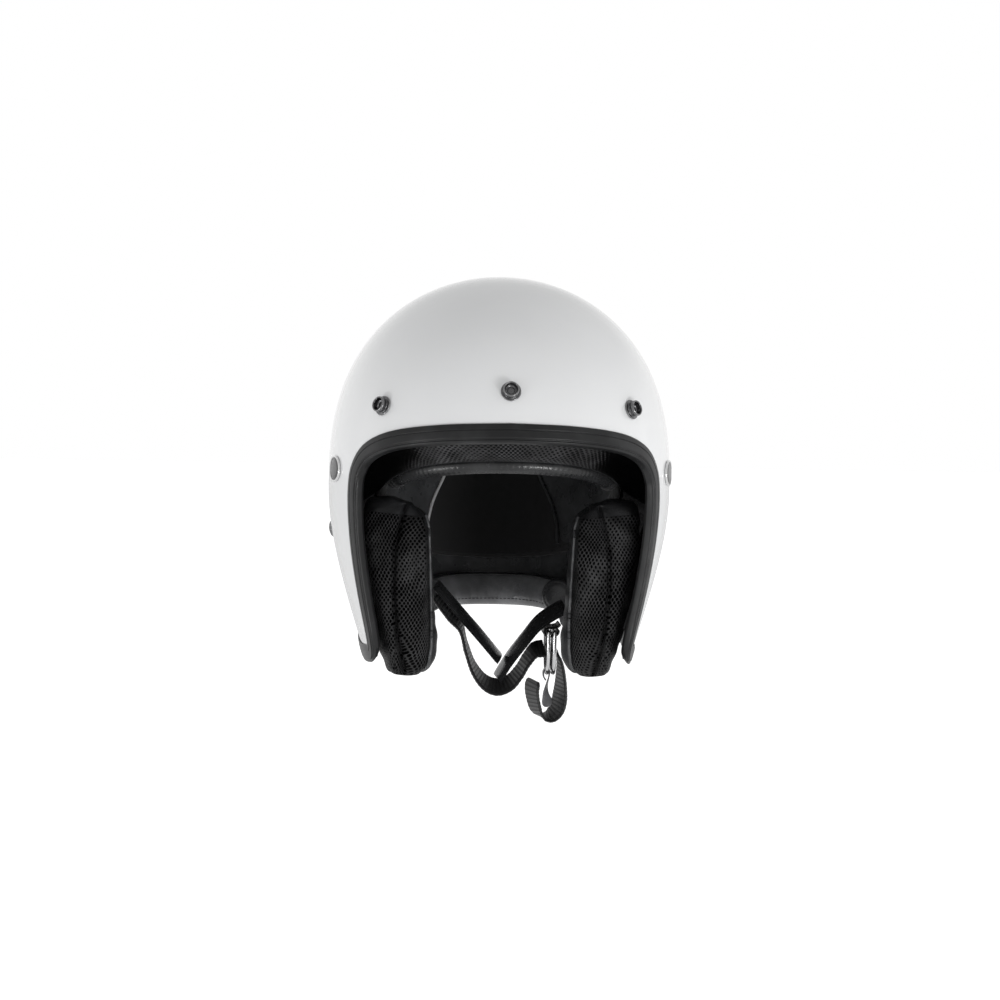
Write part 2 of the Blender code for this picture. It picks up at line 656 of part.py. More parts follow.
def build_pull_tab(looks):
    """Release tab, folded round the bottom of the inner ring."""
    x, z = RING_X["d_ring_inner"], RING_BAR_Z - RING_DROP
    hinge = joint_empty("pull_tab_hinge", (x, STRAP_Y, z))
    path = [
        (x - 0.0006, z - 0.0052), (x - 0.0021, z - 0.0026), (x - 0.0021, z + 0.0012), (x, z + 0.0031),
        (x + 0.0021, z + 0.0012), (x + 0.0018, z - 0.0030), (x + 0.0006, z - 0.0080),
        (x - 0.0003, z - 0.0140), (x + 0.0005, z - 0.0200), (x + 0.0022, z - 0.0250),
    ]
    ribbon("pull_tab", path, 0.009, 0.0008, 30, looks["vinyl"], parent=hinge, twist=75)


def build_helmet():
    clear_scene()
    looks = make_materials()
    build_shell(looks)
    build_trim(looks)
    dome("eps_liner", EPS_RIM, EPS_OUTER, EPS_INNER, 40, 8, looks["foam"])
    dome("comfort_liner", LINER_RIM, LINER_OUTER, LINER_INNER, 40, 8, looks["mesh_fabric"])
    build_brow_pad(looks)
    build_brow_roll(looks)
    build_neck_roll(looks)
    build_cheek(looks)
    build_ear_pads(looks)
    build_studs(looks)
    build_rivets(looks)
    build_badges(looks)
    build_upper_straps(looks)
    swing = joint_empty("chin_strap_hinge", (0, STRAP_Y, SWING_AXIS_Z))
    build_chin_strap(looks, swing)
    for name in RING_X:
        build_ring(name, looks, swing)
    build_tail(looks)
    build_pull_tab(looks)


build_helmet()
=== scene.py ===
"""Looks of the open-face helmet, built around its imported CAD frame.

Metres, +Z up. The face opening looks along -Y and +X is the wearer's left. The skin functions repeat the
part's own: a point on a layer of the helmet is found from its azimuth (0 at the brow, 90 at the ear, 180 at
the nape), its height and its depth inside the outer face of the shell.
"""

import json
import math

import bmesh
import bpy
import numpy as np
from mathutils import Matrix, Quaternion, Vector
from mathutils.bvhtree import BVHTree


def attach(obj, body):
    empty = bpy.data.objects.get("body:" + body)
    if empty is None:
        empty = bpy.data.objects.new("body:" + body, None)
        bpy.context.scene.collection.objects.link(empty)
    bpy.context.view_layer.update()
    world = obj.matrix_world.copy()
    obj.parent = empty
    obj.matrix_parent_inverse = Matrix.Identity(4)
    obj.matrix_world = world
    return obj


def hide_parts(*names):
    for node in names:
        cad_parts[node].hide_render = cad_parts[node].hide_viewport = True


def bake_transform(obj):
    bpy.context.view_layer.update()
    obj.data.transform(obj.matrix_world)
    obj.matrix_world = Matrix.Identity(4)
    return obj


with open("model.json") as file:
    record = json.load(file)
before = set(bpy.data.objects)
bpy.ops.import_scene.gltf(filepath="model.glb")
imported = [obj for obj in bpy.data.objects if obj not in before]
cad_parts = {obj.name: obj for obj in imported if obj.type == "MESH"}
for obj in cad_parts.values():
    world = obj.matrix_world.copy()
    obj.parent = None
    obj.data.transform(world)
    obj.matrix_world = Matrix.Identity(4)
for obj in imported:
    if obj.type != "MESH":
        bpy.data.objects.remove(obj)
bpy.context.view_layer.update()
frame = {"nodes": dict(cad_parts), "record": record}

# Skin of the shell, as in the part
HALF_WIDTH, FRONT_LENGTH, REAR_LENGTH, CROWN_HEIGHT = 0.122, 0.137, 0.143, 0.150
CROWN_POWER, PLAN_POWER = 2.5, 2.1
TAPER_BEND, SIDE_TAPER, REAR_TAPER = 0.062, 0.37, 0.42
SHELL_THICKNESS = 0.0035
LINER_OUTER, LINER_INNER = 0.0345, 0.0410
SHELL_RIM = [
    (0, 0.037), (18, 0.0355), (34, 0.0312), (44, 0.0240), (49, 0.0145), (51, 0.002),
    (51.4, -0.030), (51.6, -0.070), (51.8, -0.098), (54, -0.1125), (61, -0.1175),
    (84, -0.1185), (118, -0.1080), (148, -0.0942), (180, -0.0930),
]
LINER_RIM = [
    (0, 0.0272), (35, 0.0230), (62, 0.0135), (76, 0.002), (92, -0.010), (112, -0.028),
    (132, -0.045), (154, -0.055), (180, -0.058),
]
DOME_POLE = np.array([0, 0.6, 0.8])
RIM_STATIONS = 320
SWELL_FRAMES = 20

STRAP_Y = 0.003
RIVET_AZIMUTH, RIVET_HEIGHT = 92, -0.032
WEB_WIDTH, WEB_THICKNESS, WEB_RIB = 0.022, 0.0018, 0.0029
SLEEVE_WIDTH, SLEEVE_THICKNESS, SLEEVE_TILT = 0.026, 0.0046, 20
RING_BAR_Z, RING_HALF_WIDTH, RING_DROP, RING_WIRE = -0.104, 0.0150, 0.0310, 0.0014
RING_X = {"d_ring_inner": 0.0372, "d_ring_outer": 0.0416}
TAIL_YAW = 22
PIPING_RADIUS = 0.0011

# ---------------------------------------------------------------- camera, light and floor

CAMERA_DISTANCE, CAMERA_LENS = 1.3, 64.9
CAMERA_AZIMUTH, CAMERA_ELEVATION, CAMERA_ROLL = -3.2, 3.0, 0.9
CAMERA_TARGET = Vector((0, 0, -0.0096))
FLOOR_Z, FLOOR_REACH = -0.46, 14


def make_camera():
    azimuth, elevation = math.radians(CAMERA_AZIMUTH), math.radians(CAMERA_ELEVATION)
    back = Vector((
        math.sin(azimuth) * math.cos(elevation), -math.cos(azimuth) * math.cos(elevation), math.sin(elevation)
    ))
    data = bpy.data.cameras.new("camera")
    data.lens, data.sensor_width, data.shift_x = CAMERA_LENS, 36, 0.0017
    camera = bpy.data.objects.new("camera", data)
    camera.rotation_mode = "QUATERNION"
    camera.location = CAMERA_TARGET + back * CAMERA_DISTANCE
    roll = Quaternion((0, 0, 1), math.radians(CAMERA_ROLL))
    camera.rotation_quaternion = (-back).to_track_quat("-Z", "Y") @ roll
    bpy.context.scene.collection.objects.link(camera)
    bpy.context.scene.camera = camera


def add_light(name, place, size, power, target=(0, 0, 0), mirrored=True):
    data = bpy.data.lights.new(name, "AREA")
    data.shape, data.size, data.size_y, data.energy = "RECTANGLE", size[0], size[1], power
    light = bpy.data.objects.new(name, data)
    light.location = place
    light.rotation_mode = "QUATERNION"
    light.rotation_quaternion = (Vector(target) - Vector(place)).to_track_quat("-Z", "Y")
    light.visible_camera = False
    light.visible_glossy = mirrored
    bpy.context.scene.collection.objects.link(light)


def make_studio():
    """A white room, bright at the sides and behind, darker overhead and in front, and white to the camera."""
    world = bpy.data.worlds.new("studio")
    bpy.context.scene.world = world
    world.use_nodes = True
    tree = world.node_tree
    tree.nodes.clear()
    split = add(tree, "SeparateXYZ", {0: add(tree, "TexCoord").outputs["Generated"]})
    sideways = math_node(tree, "ABSOLUTE", split.outputs["X"])
    beside = ranged(tree, sideways, 0.50, 0.88, 0.0, 0.9)
    behind = ranged(tree, split.outputs["Y"], -0.10, 0.45)
    overhead = ranged(tree, split.outputs["Z"], 0.10, 0.60, 1.0, 0.35)
    bright = math_node(tree, "MULTIPLY", math_node(tree, "MAXIMUM", beside, behind), overhead)
    room = math_node(tree, "ADD", math_node(tree, "MULTIPLY", bright, 0.44), 0.49)
    ray = add(tree, "LightPath")
    strength = mix_value(tree, ray.outputs["Is Camera Ray"], room, 1.0)
    back = add(tree, "Background", {"Color": (1, 1, 1, 1), "Strength": strength})
    out = add(tree, "OutputWorld")
    tree.links.new(back.outputs[0], out.inputs[0])
    add_light("key_right", (1.35, -0.75, 0.15), (1.0, 1.8), 2.6, mirrored=False)
    add_light("low_front", (0.60, -1.0, -0.35), (0.35, 0.30), 4.2, (0, 0, -0.05))
    add_light("low_left", (-0.90, -0.62, -0.36), (0.22, 0.22), 2.0)
    for side, name in ((-1, "left"), (1, "right")):
        add_light(f"edge_{name}", (1.3 * side, 0.25, -0.15), (0.6, 1.2), 0.3)
    floor_mesh = bpy.data.meshes.new("floor")
    corners = [(-FLOOR_REACH, -FLOOR_REACH, 0), (FLOOR_REACH, -FLOOR_REACH, 0)]
    corners += [(FLOOR_REACH, FLOOR_REACH, 0), (-FLOOR_REACH, FLOOR_REACH, 0)]
    floor_mesh.from_pydata(corners, [], [(0, 1, 2, 3)])
    floor = bpy.data.objects.new("floor", floor_mesh)
    floor.location.z = FLOOR_Z
    bpy.context.scene.collection.objects.link(floor)
    material, tree, shader = new_material("floor_white", (0.60, 0.60, 0.60), 0.85)
    shader.inputs["Emission Color"].default_value = (1, 1, 1, 1)
    ray = add(tree, "LightPath").outputs["Is Camera Ray"]
    feed(shader, "Emission Strength", mix_value(tree, ray, 0.32, 0.85))
    floor.data.materials.append(material)
    bpy.context.scene.view_settings.view_transform = "Standard"


# ---------------------------------------------------------------- materials


def add(tree, kind, inputs=None, **settings):
    """Adds a node; inputs maps socket names or numbers to values, or to the sockets that feed them."""
    made = tree.nodes.new("ShaderNode" + kind)
    for key, value in settings.items():
        setattr(made, key, value)
    for key, value in (inputs or {}).items():
        socket = made.inputs[key]
        if isinstance(key, str):
            socket = next(each for each in made.inputs if each.name == key and each.enabled)
        if isinstance(value, bpy.types.NodeSocket):
            tree.links.new(value, socket)
        else:
            socket.default_value = value
    return made


def new_material(name, colour, roughness, metallic=0.0, **extra):
    material = bpy.data.materials.new(name)
    material.use_nodes = True
    shader = material.node_tree.nodes["Principled BSDF"]
    shader.inputs["Base Color"].default_value = (*colour, 1)
    shader.inputs["Roughness"].default_value = roughness
    shader.inputs["Metallic"].default_value = metallic
    for key, value in extra.items():
        shader.inputs[key.replace("_", " ").title().replace("Ior", "IOR")].default_value = value
    return material, material.node_tree, shader


def feed(shader, name, value):
    """Links a node's output to the shader's input of this name."""
    shader.id_data.links.new(value, shader.inputs[name])


def math_node(tree, operation, *values):
    return add(tree, "Math", dict(enumerate(values)), operation=operation).outputs[0]


def vector_node(tree, operation, *values):
    return add(tree, "VectorMath", dict(enumerate(values)), operation=operation).outputs[0]


def mix_colour(tree, factor, a, b):
    """Colour between a and b, each an RGB tuple or a socket."""
    ends = {key: (*value, 1) if isinstance(value, tuple) else value for key, value in (("A", a), ("B", b))}
    made = add(tree, "Mix", {"Factor": factor, **ends}, data_type="RGBA")
    return next(output for output in made.outputs if output.enabled)


def mix_value(tree, factor, a, b):
    return add(tree, "Mix", {"Factor": factor, "A": a, "B": b}, data_type="FLOAT").outputs[0]


def noise(tree, coords, scale, detail=3.0, rough=0.55):
    inputs = {"Vector": coords, "Scale": scale, "Detail": detail, "Roughness": rough}
    return add(tree, "TexNoise", inputs).outputs["Fac"]


def ranged(tree, value, low, high, to_low=0.0, to_high=1.0):
    """Value carried smoothly from the range low to high to the range to_low to to_high."""
    inputs = {"Value": value, 1: low, 2: high, 3: to_low, 4: to_high}
    return add(tree, "MapRange", inputs, interpolation_type="SMOOTHSTEP").outputs[0]


def patches(tree, coords, scale, low, high, to_low=0.0, to_high=1.0):
    """Noise of this scale, stretched to the given range."""
    return ranged(tree, noise(tree, coords, scale), low, high, to_low, to_high)


def bump(tree, shader, height, distance, strength=1.0, below=None):
    made = add(tree, "Bump", {"Height": height, "Distance": distance, "Strength": strength})
    if below is not None:
        tree.links.new(below, made.inputs["Normal"])
    feed(shader, "Normal", made.outputs[0])
    return made.outputs[0]


def object_coords(tree):
    return add(tree, "TexCoord").outputs["Object"]


def uv_coords(tree):
    return add(tree, "TexCoord").outputs["UV"]


def gelcoat():
    """White gelcoat under clear lacquer, with a trace of orange peel."""
    material, tree, shader = new_material(
        "white_gelcoat", (0.83, 0.84, 0.85), 0.22, coat_weight=1.0, coat_roughness=0.035, coat_ior=1.5
    )
    coords = object_coords(tree)
    tint = patches(tree, coords, 9.0, 0.3, 0.7)
    feed(shader, "Base Color", mix_colour(tree, tint, (0.82, 0.828, 0.836), (0.845, 0.852, 0.858)))
    feed(shader, "Roughness", patches(tree, coords, 60.0, 0.3, 0.7, 0.18, 0.26))
    peel = bump(tree, shader, noise(tree, coords, 420.0, 1.0), 0.00002, 0.5)
    feed(shader, "Coat Normal", peel)
    return material


def rubber():
    """Extruded edge rubber: fine draw lines along it, and a paler, rubbed bloom on its high parts."""
    material, tree, shader = new_material(
        "edge_rubber", (0.014, 0.0144, 0.015), 0.36, specular_ior_level=0.35
    )
    uv = uv_coords(tree)
    coords = object_coords(tree)
    stretch = add(tree, "Mapping", {"Vector": uv, "Scale": (18, 2600, 1)}).outputs[0]
    lines = noise(tree, stretch, 1.0, 2.0)
    bloom = patches(tree, coords, 38.0, 0.38, 0.75)
    feed(shader, "Base Color", mix_colour(tree, bloom, (0.009, 0.0092, 0.0097), (0.024, 0.0245, 0.0255)))
    feed(shader, "Roughness", ranged(tree, lines, 0.2, 0.8, 0.29, 0.42))
    drawn = bump(tree, shader, lines, 0.00005, 0.5)
    bump(tree, shader, noise(tree, coords, 1500.0), 0.00004, 0.4, drawn)
    return material


def cells(tree, coords, scale, randomness):
    """Distance to the walls between the cells of a foam or a grain."""
    inputs = {"Vector": coords, "Scale": scale, "Randomness": randomness}
    return add(tree, "TexVoronoi", inputs, feature="DISTANCE_TO_EDGE").outputs["Distance"]


def wave(tree, coords, scale, distortion, detail=2.0, bands="X"):
    inputs = {"Vector": coords, "Scale": scale, "Distortion": distortion, "Detail": detail}
    return add(tree, "TexWave", inputs, bands_direction=bands).outputs["Fac"]


def foam():
    """Moulded bead foam, with the flattened beads showing."""
    material, tree, shader = new_material("bead_foam", (0.03, 0.03, 0.032), 0.8)
    coords = object_coords(tree)
    edge = ranged(tree, cells(tree, coords, 330.0, 1.0), 0.0, 0.12)
    feed(shader, "Base Color", mix_colour(tree, edge, (0.012, 0.012, 0.013), (0.036, 0.036, 0.038)))
    bump(tree, shader, edge, 0.0003, 0.7)
    return material


def mesh_pattern(tree, uv, pitch_u, pitch_v):
    """0 at the middle of each hole of a staggered spacer mesh, rising to 1 on the yarns between them."""
    scaled = add(tree, "Mapping", {"Vector": uv, "Scale": (1 / pitch_u, 1 / pitch_v, 0)}).outputs[0]
    nearest = None
    for shift in (0.0, 0.5):
        moved = vector_node(tree, "ADD", scaled, (shift, shift, 0))
        cell = vector_node(tree, "FRACTION", moved)
        centred = vector_node(tree, "SUBTRACT", cell, (0.5, 0.5, 0))
        shaped = vector_node(tree, "MULTIPLY", centred, (1.0, 1.15, 0))
        away = add(tree, "VectorMath", {0: shaped}, operation="LENGTH").outputs["Value"]
        nearest = away if nearest is None else math_node(tree, "MINIMUM", nearest, away)
    return nearest


def strayed(tree, uv, coords, scale, reach):
    """UV coordinates moved about by noise of this scale, up to half the reach each way."""
    drift = add(tree, "TexNoise", {"Vector": coords, "Scale": scale, "Detail": 1.0}).outputs["Color"]
    drift = vector_node(tree, "SUBTRACT", drift, (0.5, 0.5, 0.5))
    return vector_node(tree, "ADD", uv, vector_node(tree, "MULTIPLY", drift, reach))


def mesh_parts(tree, uv, coords, pitch=(0.0028, 0.0042), painted_sheen_gain=1.0, shade_opening=0.0):
    """The spacer mesh's colour, its relief, and how much of a hole each point is.

    painted_sheen_gain makes the yarns paler, a painted sheen, and shade_opening widens the near-black holes,
    which paints shade.
    """
    uv = strayed(tree, uv, coords, 130.0, (0.0016, 0.0016, 0))
    uv = strayed(tree, uv, coords, 24.0, (0.012, 0.009, 0))
    uneven = ranged(tree, noise(tree, coords, 45.0, 2.0), 0.32, 0.68, -0.055, 0.055)
    away = math_node(tree, "ADD", mesh_pattern(tree, uv, *pitch), uneven)
    # Painted shade: taking the opening off widens the near-black holes.
    away = math_node(tree, "SUBTRACT", away, shade_opening)
    hole = ranged(tree, away, 0.21, 0.31)
    knit = add(tree, "Mapping", {"Vector": uv, "Scale": (2600, 2100, 0)}).outputs[0]
    loops = wave(tree, knit, 0.5, 1.5, 1.0)
    wear = patches(tree, coords, 55.0, 0.35, 0.7)
    # Painted sheen: this gain makes the yarns paler than their own colour.
    dark = tuple(c * painted_sheen_gain for c in (0.013, 0.013, 0.0135))
    pale = tuple(c * painted_sheen_gain for c in (0.033, 0.033, 0.0345))
    yarn = mix_colour(tree, wear, dark, pale)
    yarn = mix_colour(tree, math_node(tree, "MULTIPLY", loops, 0.35), yarn, (0.004, 0.004, 0.0045))
    # The holes are near-black: partly the dark layer beneath, partly painted shade in the hole.
    colour = mix_colour(tree, hole, (0.0006, 0.0006, 0.0007), yarn)
    height = math_node(tree, "ADD", hole, math_node(tree, "MULTIPLY", loops, 0.12))
    return colour, height, math_node(tree, "SUBTRACT", 1.0, hole)


def grain(tree, coords):
    """Pebble height of grained vinyl."""
    pebble = ranged(tree, cells(tree, coords, 900.0, 0.9), 0.0, 0.35)
    return math_node(tree, "ADD", pebble, math_node(tree, "MULTIPLY", noise(tree, coords, 2600.0), 0.35))


def vinyl(name="grained_vinyl", colour=(0.009, 0.0093, 0.010), roughness=0.38, relief=0.00012):
    """Grained lining vinyl, satin, a little shinier where it is rubbed."""
    material, tree, shader = new_material(name, colour, roughness)
    coords = object_coords(tree)
    rubbed = patches(tree, coords, 40.0, 0.35, 0.7)
    paler = tuple(c * 1.7 + 0.004 for c in colour)
    feed(shader, "Base Color", mix_colour(tree, rubbed, colour, paler))
    feed(shader, "Roughness", patches(tree, coords, 75.0, 0.3, 0.7, roughness - 0.07, roughness + 0.08))
    folds = bump(tree, shader, noise(tree, coords, 120.0), relief * 3.3, 0.25)
    bump(tree, shader, grain(tree, coords), relief, 0.6, folds)
    return material


def pad_cover():
    """Cheek pad cover: spacer mesh, and grained vinyl where the point attribute 'cover' is below zero."""
    material, tree, shader = new_material("pad_cover", (0.03, 0.03, 0.03), 0.5, specular_ior_level=0.35)
    coords = object_coords(tree)
    cover = add(tree, "Attribute", attribute_name="cover").outputs["Fac"]
    is_mesh = ranged(tree, cover, -0.0002, 0.0002)
    colour, height, hole = mesh_parts(tree, uv_coords(tree), coords)
    # Metallic with a near-black colour leaves the holes without any reflection: painted shade in the holes.
    feed(shader, "Metallic", math_node(tree, "MULTIPLY", hole, is_mesh))
    rubbed = patches(tree, coords, 40.0, 0.35, 0.7)
    skin = mix_colour(tree, rubbed, (0.011, 0.0113, 0.012), (0.022, 0.0225, 0.024))
    feed(shader, "Base Color", mix_colour(tree, is_mesh, skin, colour))
    feed(shader, "Roughness", ranged(tree, is_mesh, 0.0, 1.0, 0.38, 0.46))
    small = math_node(tree, "MULTIPLY", grain(tree, coords), 0.2)
    bump(tree, shader, mix_value(tree, is_mesh, small, height), 0.0006, 0.9)
    return material


def brow_cover():
    """Brow pad cover: coarser spacer mesh, its yarns paled as a painted sheen, its holes widened towards the
    pad's ends as painted shade.
    """
    material, tree, shader = new_material("brow_cover", (0.06, 0.06, 0.06), 0.40, specular_ior_level=0.35)
    coords = object_coords(tree)
    sideways = math_node(tree, "ABSOLUTE", add(tree, "SeparateXYZ", {0: coords}).outputs["X"])
    # Painted shade: the holes widen towards the ends of the pad, so its ends turn near-black.
    shade_opening = ranged(tree, sideways, 0.052, 0.080, 0.0, 0.34)
    # Painted sheen: the brow's yarns are 2.7 times paler than the cheek pads' yarns.
    colour, height, hole = mesh_parts(tree, uv_coords(tree), coords, (0.0034, 0.0040), 2.7, shade_opening)
    # Metallic with a near-black colour leaves the holes without any reflection: painted shade in the holes.
    feed(shader, "Metallic", hole)
    feed(shader, "Base Color", colour)
    bump(tree, shader, height, 0.0007, 0.9)
    return material


def knit():
    """Fine black lining cloth with a faint rib."""
    material, tree, shader = new_material(
        "lining_knit", (0.012, 0.012, 0.013), 0.85, sheen_weight=0.2, sheen_roughness=0.5
    )
    ribs = wave(tree, object_coords(tree), 420.0, 0.6)
    feed(shader, "Base Color", mix_colour(tree, ribs, (0.004, 0.004, 0.0045), (0.010, 0.010, 0.011)))
    bump(tree, shader, ribs, 0.0002, 0.6)
    return material


def webbing():
    """Black nylon webbing: fine diagonal yarns on raised cross ribs, whose tops are painted paler as a painted
    highlight.
    """
    material, tree, shader = new_material(
        "nylon_webbing", (0.02, 0.02, 0.021), 0.42, sheen_weight=0.12, sheen_roughness=0.35
    )
    uv = uv_coords(tree)
    fine = add(tree, "Mapping", {"Vector": uv, "Scale": (1500, 1150, 0)}).outputs[0]
    weave = wave(tree, fine, 0.5, 0.4, bands="DIAGONAL")
    along = add(tree, "SeparateXYZ", {0: uv}).outputs["X"]
    rib = math_node(tree, "SINE", math_node(tree, "MULTIPLY", along, math.pi / WEB_RIB))
    rib = ranged(tree, math_node(tree, "ABSOLUTE", rib), 0.1, 0.95)
    yarns = math_node(tree, "ADD", math_node(tree, "MULTIPLY", weave, 0.5), 0.5)
    both = math_node(tree, "MULTIPLY", yarns, rib)
    # Painted highlight: the rib tops are painted paler, over the real weave pattern of the yarns.
    feed(shader, "Base Color", mix_colour(tree, both, (0.008, 0.008, 0.0085), (0.0145, 0.0145, 0.0152)))
    feed(shader, "Roughness", ranged(tree, both, 0.0, 1.0, 0.60, 0.30))
    bump(tree, shader, both, 0.00018, 0.7)
    return material


def thread():
    """Twisted sewing thread."""
    material, tree, shader = new_material("dark_thread", (0.014, 0.014, 0.015), 0.55)
    twist = wave(tree, object_coords(tree), 900.0, 1.0, bands="DIAGONAL")
    feed(shader, "Base Color", mix_colour(tree, twist, (0.007, 0.007, 0.0075), (0.014, 0.014, 0.015)))
    bump(tree, shader, twist, 0.0001, 0.6)
    return material


def steel(name, colour, worn, roughness):
    """Plated steel: fine scratches, and paler metal where the plating has rubbed."""
    material, tree, shader = new_material(name, colour, roughness, 1.0)
    coords = object_coords(tree)
    pointed = add(tree, "NewGeometry").outputs["Pointiness"]
    edge = ranged(tree, pointed, 0.5, 0.56)
    patch = patches(tree, coords, 500.0, 0.45, 0.7)
    rub = math_node(tree, "MAXIMUM", edge, math_node(tree, "MULTIPLY", patch, 0.25))
    feed(shader, "Base Color", mix_colour(tree, rub, colour, worn))
    scratches = add(tree, "Mapping", {"Vector": coords, "Scale": (300, 300, 4000)}).outputs[0]
    lines = noise(tree, scratches, 1.0)
    feed(shader, "Roughness", ranged(tree, lines, 0.3, 0.7, roughness - 0.06, roughness + 0.08))
    bump(tree, shader, lines, 0.00002, 0.4)
    return material


def plastic(name, colour, roughness):
    """Moulded plastic with a fine spark-eroded texture."""
    material, tree, shader = new_material(name, colour, roughness)
    coords = object_coords(tree)
    mottled = patches(tree, coords, 150.0, 0.35, 0.65)
    feed(shader, "Base Color", mix_colour(tree, mottled, colour, tuple(c * 1.2 for c in colour)))
    bump(tree, shader, noise(tree, coords, 2500.0), 0.00005, 0.6)
    return material


# ---------------------------------------------------------------- skin and curves


def section(height, depth):
    """Half width, front length and rear length of the skin at this height and depth."""
    height = np.asarray(height, float)
    rise = np.clip(height / (CROWN_HEIGHT - depth), 0, 1)
    shrink = np.sqrt(1 - rise**CROWN_POWER)
    drop = np.where(height < 0, np.hypot(height, TAPER_BEND) - TAPER_BEND, 0)
    half = (HALF_WIDTH - depth) * shrink - SIDE_TAPER * drop
    return half, (FRONT_LENGTH - depth) * shrink, (REAR_LENGTH - depth) * shrink - REAR_TAPER * drop


def at(azimuth, height, depth=0.0):
    """Points of the skin at azimuths in degrees and heights."""
    azimuth, height, depth = np.broadcast_arrays(*(np.asarray(v, float) for v in (azimuth, height, depth)))
    half, front, rear = section(height, depth)
    side, ahead = np.sin(np.radians(azimuth)), np.cos(np.radians(azimuth))
    length = np.where(ahead > 0, front, rear)
    radius = (np.abs(side / half) ** PLAN_POWER + np.abs(ahead / length) ** PLAN_POWER) ** (-1 / PLAN_POWER)
    return np.stack([radius * side, -radius * ahead, height], axis=-1)


def unit(vectors):
    return vectors / np.linalg.norm(vectors, axis=-1, keepdims=True)


def on_skin(points, depth=0.0):
    """Where the rays from the origin through the points meet the skin at this depth."""
    ray = unit(np.asarray(points, float))
    low = np.full(ray.shape[:-1], 0.02)
    high = np.full(ray.shape[:-1], 0.25)
    for _ in range(30):
        middle = (low + high) / 2
        half, front, rear = section(ray[..., 2] * middle, depth)
        length = np.where(ray[..., 1] < 0, front, rear)
        with np.errstate(divide="ignore", invalid="ignore"):
            sideways, ahead = ray[..., 0] * middle / half, ray[..., 1] * middle / length
            spread = np.abs(sideways) ** PLAN_POWER + np.abs(ahead) ** PLAN_POWER
        inside = (half > 0) & (spread < 1)
        low, high = np.where(inside, middle, low), np.where(inside, high, middle)
    return ray * low[..., None]


def skin_normal(points):
    """Outward normals of the outer face nearest to the points."""
    points = np.asarray(points, float)
    step = 0.002
    across = unit(np.cross([0.0, 0.0, 1.0], points)) * step
    up = unit(np.cross(points, across)) * step
    along_a = on_skin(points + across) - on_skin(points - across)
    along_b = on_skin(points + up) - on_skin(points - up)
    normal = unit(np.cross(along_a, along_b))
    return normal * np.sign((normal * points).sum(-1, keepdims=True))


def evenly(points, count, closed=False):
    """count points spaced evenly along a polyline; a closed one doesn't repeat its first point."""
    points = np.asarray(points, float)
    lengths = np.concatenate([[0], np.cumsum(np.linalg.norm(np.diff(points, axis=0), axis=1))])
    targets = np.linspace(0, lengths[-1], count + 1)[:-1] if closed else np.linspace(0, lengths[-1], count)
    return np.stack([np.interp(targets, lengths, points[:, k]) for k in range(points.shape[1])], axis=1)


def spline(points, count, closed=False):
    """count points evenly spaced along a smooth curve through the given points."""
    points = np.asarray(points, float)
    total = len(points)
    t = np.arange(16)[:, None] / 16
    runs = []
    for i in range(total if closed else total - 1):
        near = [(i + k) % total if closed else min(max(i + k, 0), total - 1) for k in (-1, 0, 1, 2)]
        a, b, c, d = points[near]
        bend = (2 * a - 5 * b + 4 * c - d) * t**2 + (3 * b - a - 3 * c + d) * t**3
        runs.append(0.5 * (2 * b + (c - a) * t + bend))
    runs.append(points[:1] if closed else points[-1:])
    return evenly(np.vstack(runs), count, closed)


def rim_loop(rim, count, depth=0.0):
    """count points evenly spaced round the closed edge that a list of (azimuth, height) describes."""
    plan = spline([(a / 180, h / 0.1) for a, h in rim], 800)
    half = at(plan[:, 0] * 180, plan[:, 1] * 0.1, depth)
    other = half[-2:0:-1] * [-1, 1, 1]
    return evenly(np.vstack([half, other, half[:1]]), count, closed=True)


def tangents(path, closed=False):
    if closed:
        return unit(np.roll(path, -1, 0) - np.roll(path, 1, 0))
    return unit(np.gradient(path, axis=0))


def behind_rim(rim):
    """Directions along the skin that lead from each station of the rim away from the opening."""
    behind = unit(np.cross(skin_normal(rim), tangents(rim, True)))
    return behind * np.sign(((DOME_POLE - rim) * behind).sum(-1, keepdims=True))


# ---------------------------------------------------------------- meshes


def link(name, mesh, material, smooth_angle=40):
    obj = bpy.data.objects.new(name, mesh)
    bpy.context.scene.collection.objects.link(obj)
    mesh.materials.append(material)
    mesh.shade_smooth()
    mesh.set_sharp_from_angle(angle=math.radians(smooth_angle))
    return obj


def outward(mesh):
    """Turns the faces of a closed mesh outwards."""
    bm = bmesh.new()
    bm.from_mesh(mesh)
    bmesh.ops.recalc_face_normals(bm, faces=bm.faces[:])
    if bm.calc_volume(signed=True) < 0:
        bmesh.ops.reverse_faces(bm, faces=bm.faces[:])
    bm.to_mesh(mesh)
    bm.free()


def around_each(grid):
    """For each quad of a grid, what the grid holds at its four corners."""
    return np.stack([grid[:-1, :-1], grid[:-1, 1:], grid[1:, 1:], grid[1:, :-1]], axis=2)


